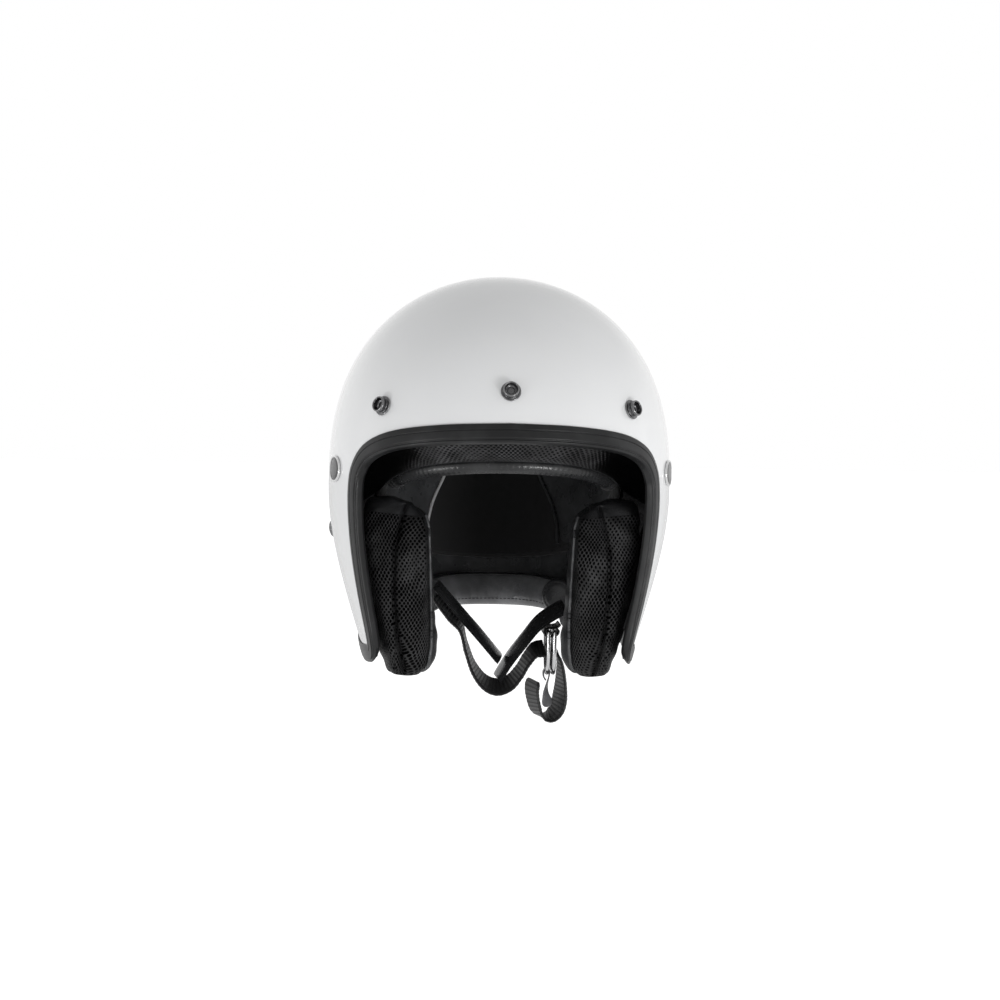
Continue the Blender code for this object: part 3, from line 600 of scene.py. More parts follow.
def surface(name, grid, material, smooth_angle=60, loop=False, body="root"):
    """Skin over a (rows, columns, 3) grid whose rows are rings, with its UV map in metres.

    A loop's last row joins its first; otherwise the two end rows are closed by caps.
    """
    grid = np.asarray(grid, float)
    rows, columns = grid.shape[:2]
    index = np.arange(rows * columns).reshape(rows, columns)
    u = np.concatenate([[0], np.cumsum(np.linalg.norm(np.diff(grid, axis=0), axis=2).mean(1))])
    v = np.concatenate([[0], np.cumsum(np.linalg.norm(np.diff(grid, axis=1), axis=2).mean(0))])
    if loop:
        index = np.vstack([index, index[:1]])
        u = np.append(u, u[-1] + np.linalg.norm(grid[0] - grid[-1], axis=1).mean())
    index = np.hstack([index, index[:, :1]])
    v = np.append(v, v[-1] + np.linalg.norm(grid[:, 0] - grid[:, -1], axis=1).mean())
    quads = around_each(index).reshape(-1, 4)
    faces = quads.tolist()
    if not loop:
        faces += [index[0, :columns].tolist(), index[-1, :columns].tolist()]
    mesh = bpy.data.meshes.new(name)
    mesh.from_pydata(grid.reshape(-1, 3).tolist(), [], faces)
    us, vs = np.meshgrid(u, v, indexing="ij")
    corner = np.stack([us, vs], axis=-1)
    spread = around_each(corner).reshape(-1, 2)
    if not loop:
        for across in (u[0], u[rows - 1]):
            spread = np.vstack([spread, np.stack([np.full(columns, across), v[:columns]], axis=1)])
    mesh.uv_layers.new(name="metres").data.foreach_set("uv", spread.astype(np.float32).ravel())
    outward(mesh)
    obj = link(name, mesh, material, smooth_angle)
    if body:
        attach(obj, body)
    return obj


def tube(name, path, radius, material, sides=10, closed=False, body="root"):
    """Round tube along a path; radius is one number or one for each point."""
    path = np.asarray(path, float)
    along = tangents(path, closed)
    aside = np.cross(along, [0.0, 0.0, 1.0])
    weak = np.linalg.norm(aside, axis=1) < 0.2
    aside[weak] = np.cross(along[weak], [0.0, 1.0, 0.0])
    aside = unit(aside)
    up = np.cross(aside, along)
    turn = np.linspace(0, math.tau, sides, endpoint=False)[None, :, None]
    radius = np.broadcast_to(np.asarray(radius, float), len(path))[:, None, None]
    grid = path[:, None] + radius * (aside[:, None] * np.cos(turn) + up[:, None] * np.sin(turn))
    return surface(name, grid, material, loop=closed, body=body)


def turned(name, profile, place, material, steps=48, body="root", smooth_angle=35):
    """Body of revolution of a (radius, height) profile about the Z of the matrix that places it."""
    bm = bmesh.new()
    verts = [bm.verts.new((radius, 0, height)) for radius, height in profile]
    edges = [bm.edges.new(pair) for pair in zip(verts, verts[1:])]
    bmesh.ops.spin(
        bm, geom=verts + edges, cent=(0, 0, 0), axis=(0, 0, 1), angle=math.tau, steps=steps, use_merge=True
    )
    bmesh.ops.remove_doubles(bm, verts=bm.verts[:], dist=1e-6)
    mesh = bpy.data.meshes.new(name)
    bm.to_mesh(mesh)
    bm.free()
    outward(mesh)
    obj = link(name, mesh, material, smooth_angle)
    obj.matrix_world = place
    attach(obj, body)
    return obj


def rounded(profile, radius=0.0002, steps=3):
    """Profile with each inner corner cut by a short curve."""
    points = [np.array(p, float) for p in profile]
    out = [points[0]]
    for before, corner, after in zip(points, points[1:], points[2:]):
        a, b = before - corner, after - corner
        reach = min(radius, np.linalg.norm(a) / 2.2, np.linalg.norm(b) / 2.2)
        start, end = corner + unit(a) * reach, corner + unit(b) * reach
        for k in range(steps + 1):
            t = k / steps
            out.append((1 - t) ** 2 * start + 2 * t * (1 - t) * corner + t**2 * end)
    out.append(points[-1])
    return [tuple(p) for p in out]


def stitches(name, path, normals, material, pitch=0.0030, length=0.0021, radius=0.00028, body="root"):
    """A row of sewn stitches along a path: short bars of thread whose ends dive into the surface."""
    path, normals = np.asarray(path, float), np.asarray(normals, float)
    total = np.linalg.norm(np.diff(path, axis=0), axis=1).sum()
    count = max(2, int(total / pitch))
    both = evenly(np.hstack([path, normals * 10]), count * 2 + 1)
    steps = np.linspace(-1, 1, 5)
    verts, faces = [], []
    for k in range(count):
        row = both[2 * k + 1]
        ahead = unit(both[min(2 * k + 2, 2 * count), :3] - both[2 * k, :3])
        normal = unit(row[3:])
        side = np.cross(ahead, normal)
        base = len(verts)
        for s in steps:
            centre = row[:3] + ahead * s * length / 2 + normal * radius * (0.6 - 1.7 * s**4)
            fat = radius * (1 - 0.35 * s**4)
            for turn in np.linspace(0, math.tau, 6, endpoint=False):
                verts.append(centre + side * fat * math.cos(turn) + normal * fat * math.sin(turn))
        for ring in range(base, base + 6 * (len(steps) - 1), 6):
            for c in range(6):
                d = (c + 1) % 6
                faces.append([ring + c, ring + d, ring + 6 + d, ring + 6 + c])
        faces.append([base + c for c in range(6)])
        faces.append([base + (len(steps) - 1) * 6 + c for c in range(6)])
    mesh = bpy.data.meshes.new(name)
    mesh.from_pydata([tuple(v) for v in verts], [], faces)
    outward(mesh)
    obj = link(name, mesh, material, 60)
    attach(obj, body)
    return obj


def apply_modifiers(obj):
    graph = bpy.context.evaluated_depsgraph_get()
    mesh = bpy.data.meshes.new_from_object(obj.evaluated_get(graph))
    obj.modifiers.clear()
    obj.data = mesh


def coordinates(mesh):
    found = np.empty(len(mesh.vertices) * 3, np.float32)
    mesh.vertices.foreach_get("co", found)
    return found.reshape(-1, 3).astype(float)


def point_normals(mesh):
    found = np.empty(len(mesh.vertices) * 3, np.float32)
    mesh.vertex_normals.foreach_get("vector", found)
    return found.reshape(-1, 3).astype(float)


def place_points(mesh, points):
    mesh.vertices.foreach_set("co", np.asarray(points, np.float32).ravel())
    mesh.update()


def swell(obj, voxel, pressure, cap):
    """Remeshes a pad, inflates it as cloth, limits how far any point moves, and smooths it."""
    remesh = obj.modifiers.new("remesh", "REMESH")
    remesh.mode, remesh.voxel_size = "VOXEL", voxel
    apply_modifiers(obj)
    rest = coordinates(obj.data)
    cloth = obj.modifiers.new("cloth", "CLOTH")
    cloth.settings.use_pressure = True
    cloth.settings.uniform_pressure_force = pressure
    cloth.settings.effector_weights.gravity = 0
    cloth.settings.tension_stiffness = 25
    cloth.settings.compression_stiffness = 25
    cloth.point_cache.frame_start, cloth.point_cache.frame_end = 1, SWELL_FRAMES
    for step in range(1, SWELL_FRAMES + 1):
        bpy.context.scene.frame_set(step)
    graph = bpy.context.evaluated_depsgraph_get()
    swollen = bpy.data.meshes.new_from_object(obj.evaluated_get(graph))
    moved = coordinates(swollen) - rest
    far = np.linalg.norm(moved, axis=1, keepdims=True)
    obj.modifiers.clear()
    place_points(obj.data, rest + moved * np.minimum(1, cap / np.maximum(far, 1e-9)))
    bpy.data.meshes.remove(swollen)
    bpy.context.scene.frame_set(1)
    smooth = obj.modifiers.new("smooth", "SUBSURF")
    smooth.levels = smooth.render_levels = 2
    apply_modifiers(obj)


# ---------------------------------------------------------------- shell, trim and hardware


def skin_rows(rim, depths, rings):
    """Rows of points from the pole to the rim, one run for each depth, every other run reversed."""
    pole = unit(DOME_POLE)
    edge = unit(rim_loop(rim, RIM_STATIONS, depths[0]))
    angle = np.arccos(edge @ pole)[:, None]
    share = np.linspace(0, 1, rings + 1)
    share[0] = 0.002
    rays = [(np.sin((1 - s) * angle) * pole + np.sin(s * angle) * edge) / np.sin(angle) for s in share]
    runs = []
    for k, depth in enumerate(depths):
        rows = [on_skin(ray, depth) for ray in rays]
        runs += rows[::-1] if k % 2 else rows
    return np.array(runs)


def make_shell(looks):
    """The white shell, and a thin dark sheet just inside it, which darkens its inner face."""
    shell = surface("white_shell", skin_rows(SHELL_RIM, (0, SHELL_THICKNESS), 60), looks["paint"], 50)
    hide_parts("outer_shell")
    # A thin dark sheet just inside the shell darkens its inner face where it shows past the pads.
    dark_sheet_depths = (SHELL_THICKNESS + 0.00005, SHELL_THICKNESS + 0.0002)
    coat = surface("shell_inner_dark_sheet", skin_rows(SHELL_RIM, dark_sheet_depths, 30), looks["plastic"], 50)


TRIM_PROFILE = [
    (0.0097, -0.0003), (0.0101, -0.0005), (0.0101, -0.0009), (0.0092, -0.0015), (0.0065, -0.0019),
    (0.0061, -0.0019), (0.0059, -0.0015), (0.0056, -0.0015), (0.0054, -0.0019), (0.0048, -0.0020),
    (0.0010, -0.0021), (0.0003, -0.0020), (-0.0001, -0.0013), (-0.0007, -0.0013), (-0.0011, -0.0018),
    (-0.0018, -0.0016), (-0.0024, -0.0008), (-0.0026, 0.0004), (-0.0026, 0.0034), (-0.0020, 0.0048),
    (-0.0010, 0.0058), (0.0070, 0.0056), (0.0080, 0.0052), (0.0080, 0.0046), (-0.0003, 0.0045),
    (-0.0003, -0.0003),
]


def make_trim(looks):
    """Rubber channel with a moulded groove, a lower channel and a bead along its nose."""
    rim = rim_loop(SHELL_RIM, RIM_STATIONS)
    behind = behind_rim(rim)
    profile = rounded(TRIM_PROFILE + TRIM_PROFILE[:1], 0.0003, 2)[:-1]
    grid = np.stack([on_skin(rim + behind * distance, depth) for distance, depth in profile], axis=1)
    trim = surface("edge_rubber", grid, looks["rubber"], 50, loop=True)
    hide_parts("edge_trim")


def facing(place, normal):
    return Matrix.Translation(place) @ Vector(normal).to_track_quat("Z", "Y").to_matrix().to_4x4()


def make_studs(looks):
    """Hollow press studs for a visor, at the record's mounts, which are on the floors of the sockets."""
    socket_floor = 0.0020
    profile = [
        (0, 0.0020), (0.0020, 0.0020), (0.0023, 0.0016), (0.0031, 0.0016), (0.0034, 0.0020), (0.0037, 0.0021),
        (0.0040, 0.0051), (0.0044, 0.0057), (0.0049, 0.0057), (0.0053, 0.0051), (0.0053, 0.0041),
        (0.0047, 0.0030), (0.0047, 0.0016), (0.0050, 0.0012), (0.0063, 0.0011), (0.0067, 0.0008),
        (0.0067, 0.0004), (0.0062, 0.0001), (0.0020, 0.0001), (0.0020, -0.0054), (0.0030, -0.0055),
        (0.0028, -0.0061), (0, -0.0061),
    ]
    for mount in frame["record"]["mounts"]:
        if not mount["name"].startswith("visor_stud"):
            continue
        axis = Vector(mount["axis"])
        place = facing(Vector(mount["pos_m"]) - axis * socket_floor, axis)
        stud = turned(f"press_{mount['name']}", rounded(profile, 0.00025), place, looks["gunmetal"], 64)
        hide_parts(mount["name"])


def make_rivets(looks):
    """Domed strap rivets on both sides, with a shallow turned ring."""
    profile = [
        (0, 0.0024), (0.0016, 0.0023), (0.0030, 0.0020), (0.0033, 0.0018), (0.0036, 0.0019), (0.0050, 0.0012),
        (0.0058, 0.0005), (0.0057, 0.0001), (0.0024, 0.0001), (0.0024, -0.0098), (0.0042, -0.0100),
        (0.0040, -0.0110), (0, -0.0112),
    ]
    for side, name in ((1, "strap_rivet_left"), (-1, "strap_rivet_right")):
        point = at(side * RIVET_AZIMUTH, RIVET_HEIGHT)
        place = facing(point, skin_normal(point[None])[0])
        rivet = turned(f"domed_{name}", rounded(profile, 0.0003), place, looks["gunmetal"])
        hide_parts(name)


def make_badges(looks):
    """Plain oval plates, bent to the shell: a bright raised border round a dark face."""
    turn = np.linspace(0, math.tau, 96, endpoint=False)[:, None]
    rim = [
        (0.02, -0.0002), (0.98, -0.0002), (1.0, -0.0004), (1.0, -0.0011), (0.975, -0.0016), (0.93, -0.0017),
        (0.88, -0.0016), (0.86, -0.0012), (0.5, -0.0010), (0.02, -0.0010),
    ]
    face = [
        (0.02, -0.0008), (0.85, -0.0008), (0.86, -0.0012), (0.84, -0.0014), (0.5, -0.0014), (0.02, -0.0014),
    ]
    for side, name in ((1, "side_badge_left"), (-1, "side_badge_right")):
        centre = at(side * 68, 0.013)
        normal = skin_normal(centre[None])[0]
        along = unit(np.cross([0, 0, 1.0], normal))
        oval = along * 0.013 * np.cos(turn) + np.cross(normal, along) * 0.009 * np.sin(turn)
        for part, steps, look in (("border", rim, "bright"), ("face", face, "badge")):
            grid = np.array([on_skin(centre + scale * oval, depth) for scale, depth in steps])
            plate = surface(f"{name}_{part}", grid, looks[look])
            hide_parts(name)


# ---------------------------------------------------------------- brow and lining


ROLL_RADIUS, ROLL_END = 0.0058, 62


def roll_point(azimuth):
    """Points of the brow roll's axis, which drops towards its ends."""
    azimuth = np.asarray(azimuth, float)
    return at(azimuth, 0.0190 - 0.0148 * (azimuth / ROLL_END) ** 2, 0.0385)


def make_brow_pad(looks):
    """Wedge of foam under spacer mesh, from the edge rubber to the brow roll."""
    rim = rim_loop(SHELL_RIM, 480)
    back = behind_rim(rim)
    last = int(np.argmax(rim[:, 2] < -0.007))
    index = np.arange(-last, last + 1)
    share = np.abs(index)[:, None] / last
    rim, back = rim[index], back[index] * (1 - 0.4 * share**4)
    outer = on_skin(rim + back * 0.0005, 0.0066)
    azimuth = 58 * index / last
    inner = at(azimuth, roll_point(azimuth)[:, 2] + 0.003 - 0.007 * share[:, 0] ** 4, 0.0300)
    inward = unit(inner - outer)

    def across(part, lift):
        return outer + (inner - outer) * part + back * lift

    outline = [
        across(0, 0), across(0.25, -0.0012), across(0.55, -0.0024), across(0.82, -0.0020),
        across(1.0, -0.0002), inner + back * 0.0022 + inward * 0.0012,
        inner + back * 0.0065 + inward * 0.0010, inner + back * 0.0085, across(0.55, 0.0095), across(0, 0.0060),
    ]
    grid = np.stack(outline, axis=1)
    grid = np.array([spline(row, 48, closed=True) for row in grid])
    pad = surface("brow_mesh", grid, looks["brow"])
    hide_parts("brow_pad")
    trimmed = slice(4, -4)
    binding = tube("brow_mesh_binding", (inner + back * 0.0006)[trimmed], PIPING_RADIUS, looks["vinyl"])


def make_brow_roll(looks):
    """Vinyl tube along the forehead, faintly puckered along its seam, with two collars near each end."""
    azimuth = np.linspace(-ROLL_END, ROLL_END, 260)
    path = roll_point(azimuth)
    along = tangents(path)
    side = unit(np.cross([0.0, 0.0, 1.0], along))
    up = np.cross(along, side)
    reach = np.clip((np.abs(azimuth) - 57.5) / 4.5, 0, 1)
    radius = ROLL_RADIUS * np.sqrt(np.clip(1 - reach**2, 0.02, 1))
    turn = np.linspace(0, math.tau, 40, endpoint=False)
    pucker = 1 + 0.012 * np.sin(azimuth[:, None] * 2.9) * np.cos(turn - 0.4)
    pucker -= 0.05 * np.exp(-(((turn - math.pi * 1.28) / 0.10) ** 2))
    around = side[:, None] * np.cos(turn)[:, None] + up[:, None] * np.sin(turn)[:, None]
    grid = path[:, None] + (radius[:, None] * pucker)[..., None] * around
    roll = surface("brow_roll_cover", grid, looks["roll"])
    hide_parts("brow_roll")
    for sign, name in ((1, "left"), (-1, "right")):
        for k, (start, end) in enumerate(((56.2, 57.6), (53.8, 54.6))):
            arc = roll_point(sign * np.linspace(start, end, 9))
            fat = ROLL_RADIUS + 0.0006 * np.sin(np.linspace(0.15, math.pi - 0.15, 9))
            collar = tube(f"brow_roll_collar_{name}_{k + 1}", arc, fat, looks["knit"], 40)


PANEL_BACK = [
    (-0.050, 145.0), (-0.031, 147.5), (-0.015, 151.5), (0.002, 157.5), (0.030, 163.0), (0.060, 168.0),
]


def panel_back(height):
    heights, azimuths = zip(*PANEL_BACK)
    return np.interp(height, heights, azimuths)


def liner_rim_height(azimuth):
    azimuths, heights = zip(*LINER_RIM)
    return np.interp(np.abs(azimuth), azimuths, heights)


def make_comfort_liner(looks):
    """Knit crown lining, with a raised vinyl panel on each side and piping along the panel's back edge."""
    rows = skin_rows(LINER_RIM, (LINER_OUTER, LINER_INNER), 40)
    lining = surface("crown_lining", rows, looks["knit"], 50)
    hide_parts("comfort_liner")
    hem = rim_loop(LINER_RIM, 400, LINER_OUTER)
    hem = on_skin(hem, (LINER_OUTER + LINER_INNER) / 2)
    binding = tube("crown_lining_binding", hem, 0.0032, looks["knit"], 14, closed=True)
    top = 0.062
    # Painted light: the right piping takes a pale vinyl as a painted highlight, the left one the darker satin
    # vinyl.
    for side, name, piping_look in ((1, "left", "satin"), (-1, "right", "piping")):
        s = np.linspace(0, 1, 70)[:, None]
        t = np.linspace(0, 1, 50)[None, :]
        low = liner_rim_height(60 + 92 * s) + 0.004
        height = low + (top - low) * t
        azimuth = 60 + (panel_back(height) - 60) * s
        crown = math.prod(np.sin(math.pi * np.clip(share, 0.001, 0.999)) ** 0.35 for share in (s, t))
        face = at(side * azimuth, height, LINER_INNER - 0.0008 + 0.0036 * crown)
        rear = at(side * azimuth, height, LINER_INNER - 0.0012)
        grid = np.concatenate([face, rear[:, ::-1]], axis=1)
        panel = surface(f"side_lining_{name}", grid, looks["satin"], 70)
        edge_heights = np.linspace(-0.046, 0.060, 90)
        edge = at(side * panel_back(edge_heights), edge_heights, LINER_INNER + 0.0010)
        piping = tube(f"side_lining_piping_{name}", spline(edge[::6], 120), 0.0012, looks[piping_look])


NECK_OUTLINE = [
    (0.0075, -0.0905), (0.0200, -0.0945), (0.0360, -0.0945), (0.0440, -0.0890), (0.0450, -0.0800),
    (0.0420, -0.0720), (0.0370, -0.0705), (0.0345, -0.0740), (0.0345, -0.0850), (0.0075, -0.0850),
]
NECK_END, NECK_DROP = 52, 0.0125


def make_neck_roll(looks):
    """Satin vinyl cushion round the nape, its vinyl painted pale as painted light, gathered a little along its
    hem.
    """
    azimuth = 180 + np.linspace(-NECK_END, NECK_END, 170)
    away = np.abs(azimuth - 180) / NECK_END
    soft = spline(NECK_OUTLINE, 44, closed=True)
    grid = []
    for angle, share in zip(azimuth, away):
        ripple = 0.0003 * math.sin(angle * 0.55) + 0.00015 * math.sin(angle * 1.3 + 1)
        lift = np.exp(-(((soft[:, 1] + 0.086) / 0.006) ** 2)) * ripple
        grid.append(at(angle, soft[:, 1] - NECK_DROP * share**4, soft[:, 0] + lift * (soft[:, 0] > 0.036)))
    # Painted light: the cushion takes the pale nape vinyl, which stands in for the light falling on the nape.
    cushion = surface("neck_cushion", grid, looks["nape"])
    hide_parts("neck_roll")
    azimuth, drop = azimuth[3:-3], NECK_DROP * away[3:-3] ** 4
    hem = at(azimuth, -0.0893 - drop, 0.0440)
    normals = unit(hem * [-1, -1, 0])
    row = stitches("neck_cushion_stitches", hem, normals, looks["thread"])
    top = at(azimuth, -0.0716 - drop, 0.0408)
    edge = tube("neck_cushion_piping", top, PIPING_RADIUS, looks["vinyl"])
    heights = np.linspace(-0.0500, -0.0740, 10)
    spread = 180 + np.linspace(-NECK_END, NECK_END, 90)
    face = at(spread[:, None], heights[None], 0.0338)
    rear = at(spread[:, None], heights[None], 0.0322)
    band = surface("nape_band", np.concatenate([face, rear[:, ::-1]], axis=1), looks["satin"])


# ---------------------------------------------------------------- cheek and ear pads

CHEEK_LEVELS = [
    (-0.1285, 0.060, 0.082, -0.044, -0.028), (-0.1260, 0.051, 0.0885, -0.052, -0.020),
    (-0.1180, 0.0470, 0.0920, -0.057, -0.015), (-0.1050, 0.0460, 0.0950, -0.060, -0.0135),
    (-0.0850, 0.0472, 0.0972, -0.063, -0.0130), (-0.0600, 0.0478, 0.0985, -0.065, -0.0130),
    (-0.0380, 0.0480, 0.0985, -0.066, -0.0140), (-0.0240, 0.0490, 0.0985, -0.065, -0.0160),
    (-0.0150, 0.0530, 0.0980, -0.062, -0.0200), (-0.0085, 0.0650, 0.0960, -0.058, -0.0260),
    (-0.0050, 0.0750, 0.0920, -0.053, -0.0330),
]
SEAM_LINE = [
    (-0.0050, 0.0655), (-0.0139, 0.0680), (-0.0413, 0.0742), (-0.0702, 0.0748), (-0.0997, 0.0722),
    (-0.1290, 0.0660),
]
MESH_EDGE = [
    (-0.0120, 0.0600), (-0.0180, 0.0535), (-0.0260, 0.0512), (-0.0440, 0.0504), (-0.0700, 0.0494),
    (-0.0950, 0.0485), (-0.1100, 0.0484), (-0.1220, 0.0500), (-0.1320, 0.0560),
]


def along_line(line, heights):
    ordered = np.array(sorted(line))
    return np.interp(heights, ordered[:, 0], ordered[:, 1])


def cheek_wall(y, height):
    """Outer face of the cheek pad: flat where there is room, and inside the skin where there isn't."""
    half, front, rear = section(height, 0.0114)
    length = np.where(y < 0, front, rear)
    return np.minimum(0.0970, half * (1 - np.abs(y / length) ** PLAN_POWER) ** (1 / PLAN_POWER))


def cheek_start():
    """The cheek pad's closed form, a little inside its full size, before it is inflated."""
    levels = spline(CHEEK_LEVELS, 40)
    turn = math.tau * (np.arange(64) + 0.5) / 64
    c, s = np.cos(turn), np.sin(turn)
    slim = 0.0012
    grid = []
    for height, inner, outer, front, rear in levels:
        bulge = 0.0040 * math.exp(-(((height + 0.108) / 0.017) ** 2))
        level = height * 0.985 - 0.0005 - 0.0042 * max(0, (-0.070 - height) / 0.0585)
        x = (inner + outer) / 2 + ((outer - inner) / 2 - slim) * np.copysign(np.abs(c) ** 0.55, c)
        y = (front + rear) / 2 + ((rear - front) / 2 - slim) * np.copysign(np.abs(s) ** 0.55, s)
        x = x - np.where(c < 0, bulge * np.exp(-(((y + 0.038) / 0.015) ** 2)), 0)
        grid.append(np.stack([np.minimum(x, cheek_wall(y, height) - slim), y, np.full(64, level)], axis=1))
    return grid


def make_cheek_pads(looks):
    """Inflated cheek pads: mesh in two lobes in front, vinyl round the back, piping where they meet."""
    pad = surface("cheek_cushion_left", cheek_start(), looks["pad"], 40, body=None)
    swell(pad, 0.0035, 4.0, 0.0045)
    mesh = pad.data
    points, normals = coordinates(mesh), point_normals(mesh)
    frontal = np.clip((-normals[:, 1] - 0.15) / 0.6, 0, 1)
    apart = points[:, 0] - along_line(SEAM_LINE, points[:, 2])
    crease = 0.0040 * np.exp(-((apart / 0.0013) ** 2)) + 0.0034 * np.exp(-((apart / 0.0062) ** 2))
    fade = np.clip((-0.004 - points[:, 2]) / 0.006, 0, 1)
    points[:, 1] += frontal * crease * fade
    inner_gap = points[:, 0] - along_line(MESH_EDGE, points[:, 2])
    tuck = 0.0010 * np.exp(-((inner_gap / 0.0014) ** 2)) * (normals[:, 1] < 0.3)
    points -= normals * tuck[:, None]
    points += normals * (0.0003 * np.sin(points[:, 2:] * 420 + points[:, :1] * 300))
    place_points(mesh, points)
    normals = point_normals(mesh)
    height_gap = -0.0165 - points[:, 2] + 0.10 * (points[:, 0] - 0.08)
    cover = np.min([inner_gap, -0.034 - points[:, 1], height_gap, points[:, 2] + 0.1330], axis=0)
    mesh.attributes.new("cover", "FLOAT", "POINT").data.foreach_set("value", cover.astype(np.float32))
    wrap = np.sign(points[:, 0] - 0.073) * np.maximum(0, points[:, 1] + 0.058)
    loops = np.empty(len(mesh.loops), np.int32)
    mesh.loops.foreach_get("vertex_index", loops)
    uv = np.stack([points[:, 0] + wrap, points[:, 2]], axis=1)[loops]
    layer = mesh.uv_layers.new(name="metres")
    layer.data.foreach_set("uv", uv.astype(np.float32).ravel())
    mesh.uv_layers.active = layer
    tree = BVHTree.FromPolygons([Vector(p) for p in points], [tuple(p.vertices) for p in mesh.polygons])

    def on_pad(x, height):
        hit = tree.ray_cast(Vector((x, -0.12, height)), Vector((0, 1, 0)))
        return None if hit[0] is None else (np.array(hit[0]), np.array(hit[1]))

    heights = np.linspace(-0.0185, -0.1265, 74)
    edge = [on_pad(x, h) for x, h in zip(along_line(MESH_EDGE, heights), heights)]
    edge = [hit for hit in edge if hit]
    piping_path = spline([p + n * 0.0006 for p, n in edge][::3], 130)
    for side, name in ((1, "left"), (-1, "right")):
        flip = np.array([side, 1, 1])
        if side < 0:
            pad = bpy.data.objects.new("cheek_cushion_right", mesh.copy())
            bpy.context.scene.collection.objects.link(pad)
            pad.data.transform(Matrix.Diagonal((-1, 1, 1, 1)))
            pad.data.flip_normals()
        pad.data.shade_smooth()
        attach(pad, "root")
        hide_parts(f"cheek_pad_{name}")
        piping = tube(f"cheek_piping_{name}", piping_path * flip, PIPING_RADIUS, looks["satin"])


def make_ear_pads(looks):
    """Round vinyl pads with a piped edge and a ring of stitches."""
    profile = [
        (0, 0.0035), (0.0040, 0.0034), (0.0080, 0.0030), (0.0098, 0.0022), (0.0104, 0.0019), (0.0111, 0.0019),
        (0.0124, 0.0008), (0.0130, -0.0006), (0.0128, -0.0018), (0.0115, -0.0030), (0, -0.0034),
    ]
    stitch_radius = 0.0104
    turn = np.linspace(0, math.tau, 90)
    circle = [stitch_radius * np.cos(turn), stitch_radius * np.sin(turn), np.full(90, 0.0020)]
    ring = np.stack(circle, axis=1)
    for side, name in ((1, "ear_pad_left"), (-1, "ear_pad_right")):
        place = facing((0.0475 * side, 0.0360, -0.0825), (-0.42 * side, -0.9, 0))
        pad = turned(f"soft_{name}", rounded(profile, 0.0006), place, looks["satin"], 72)
        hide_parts(name)
        world = np.array([place @ Vector(p) for p in ring])
        normal = np.tile(np.array(place.to_3x3() @ Vector((0, 0, 1))), (90, 1))
        row = stitches(f"stitches_{name}", world, normal, looks["thread"], 0.0026, 0.0018, 0.00022)


# ---------------------------------------------------------------- chin strap


def strap_frames(path, count, tilt=0.0, twist=0.0, yaw=0.0):
    """Points along an (x, z) path, and the strap's across and normal directions at each, as in the part."""
    points = spline([(x, STRAP_Y, z) for x, z in path], count)
    along = tangents(points)
    turn = np.radians(yaw) * np.clip((np.linspace(0, 1, count) - 0.10) / 0.35, 0, 1)
    level, down = math.cos(math.radians(tilt)), math.sin(math.radians(tilt))
    lean = np.stack([level * np.sin(turn), -level * np.cos(turn), np.full(count, -down)], axis=1)
    across = unit(lean - along * (along * lean).sum(1)[:, None])
    if twist:
        turned_by = np.radians(twist) * np.linspace(0, 1, count) ** 3
        side = np.cross(along, across)
        across = across * np.cos(turned_by)[:, None] + side * np.sin(turned_by)[:, None]
    return points, across, np.cross(along, across)


def band_outline(count, edge=0.09):
    """Flat strap section as (across, thick) shares: level faces and rounded, slightly thicker selvedges."""
    half = count // 2
    u = np.linspace(-0.5, 0.5, half)
    thick = 0.5 * np.sqrt(np.clip(1 - np.clip((np.abs(u) - 0.5 + edge) / edge, 0, 1) ** 2.5, 0.0, 1))
    thick *= 1 + 0.12 * np.exp(-(((np.abs(u) - 0.44) / 0.03) ** 2))
    upper = np.stack([u, thick], axis=1)
    return np.vstack([upper, -upper[1:-1]])


def padded_outline(count):
    """Padded sleeve section: full in the middle and pressed flat along its two sewn edges."""
    half = count // 2
    u = np.linspace(-0.5, 0.5, half)
    full = np.sqrt(np.clip(1 - np.abs(u / 0.42) ** 2.6, 0, 1))
    thick = np.maximum(0.5 * full, 0.17 * np.sqrt(np.clip(1 - (np.abs(u) / 0.5) ** 14, 0, 1)))
    upper = np.stack([u, thick], axis=1)
    return np.vstack([upper, -upper[1:-1]])


def strap(name, frames, width, thickness, outline, material, body, ribs=0.0):
    """Sweeps a strap section along its frames; ribs is the share by which cross ribs swell its thickness."""
    points, across, normal = frames
    run = np.concatenate([[0], np.cumsum(np.linalg.norm(np.diff(points, axis=0), axis=1))])
    width = np.broadcast_to(np.asarray(width, float), len(points))[:, None, None]
    swelling = (1 + ribs * np.abs(np.sin(math.pi * run / WEB_RIB)) ** 0.8)[:, None, None]
    u, v = outline[:, 0][None, :, None], outline[:, 1][None, :, None]
    grid = points[:, None] + across[:, None] * width * u + normal[:, None] * thickness * swelling * v
    return surface(name, grid, material, 55, body=body)


def web_strap(name, frames, outline, material, body, ribs):
    return strap(name, frames, WEB_WIDTH, WEB_THICKNESS, outline, material, body, ribs)


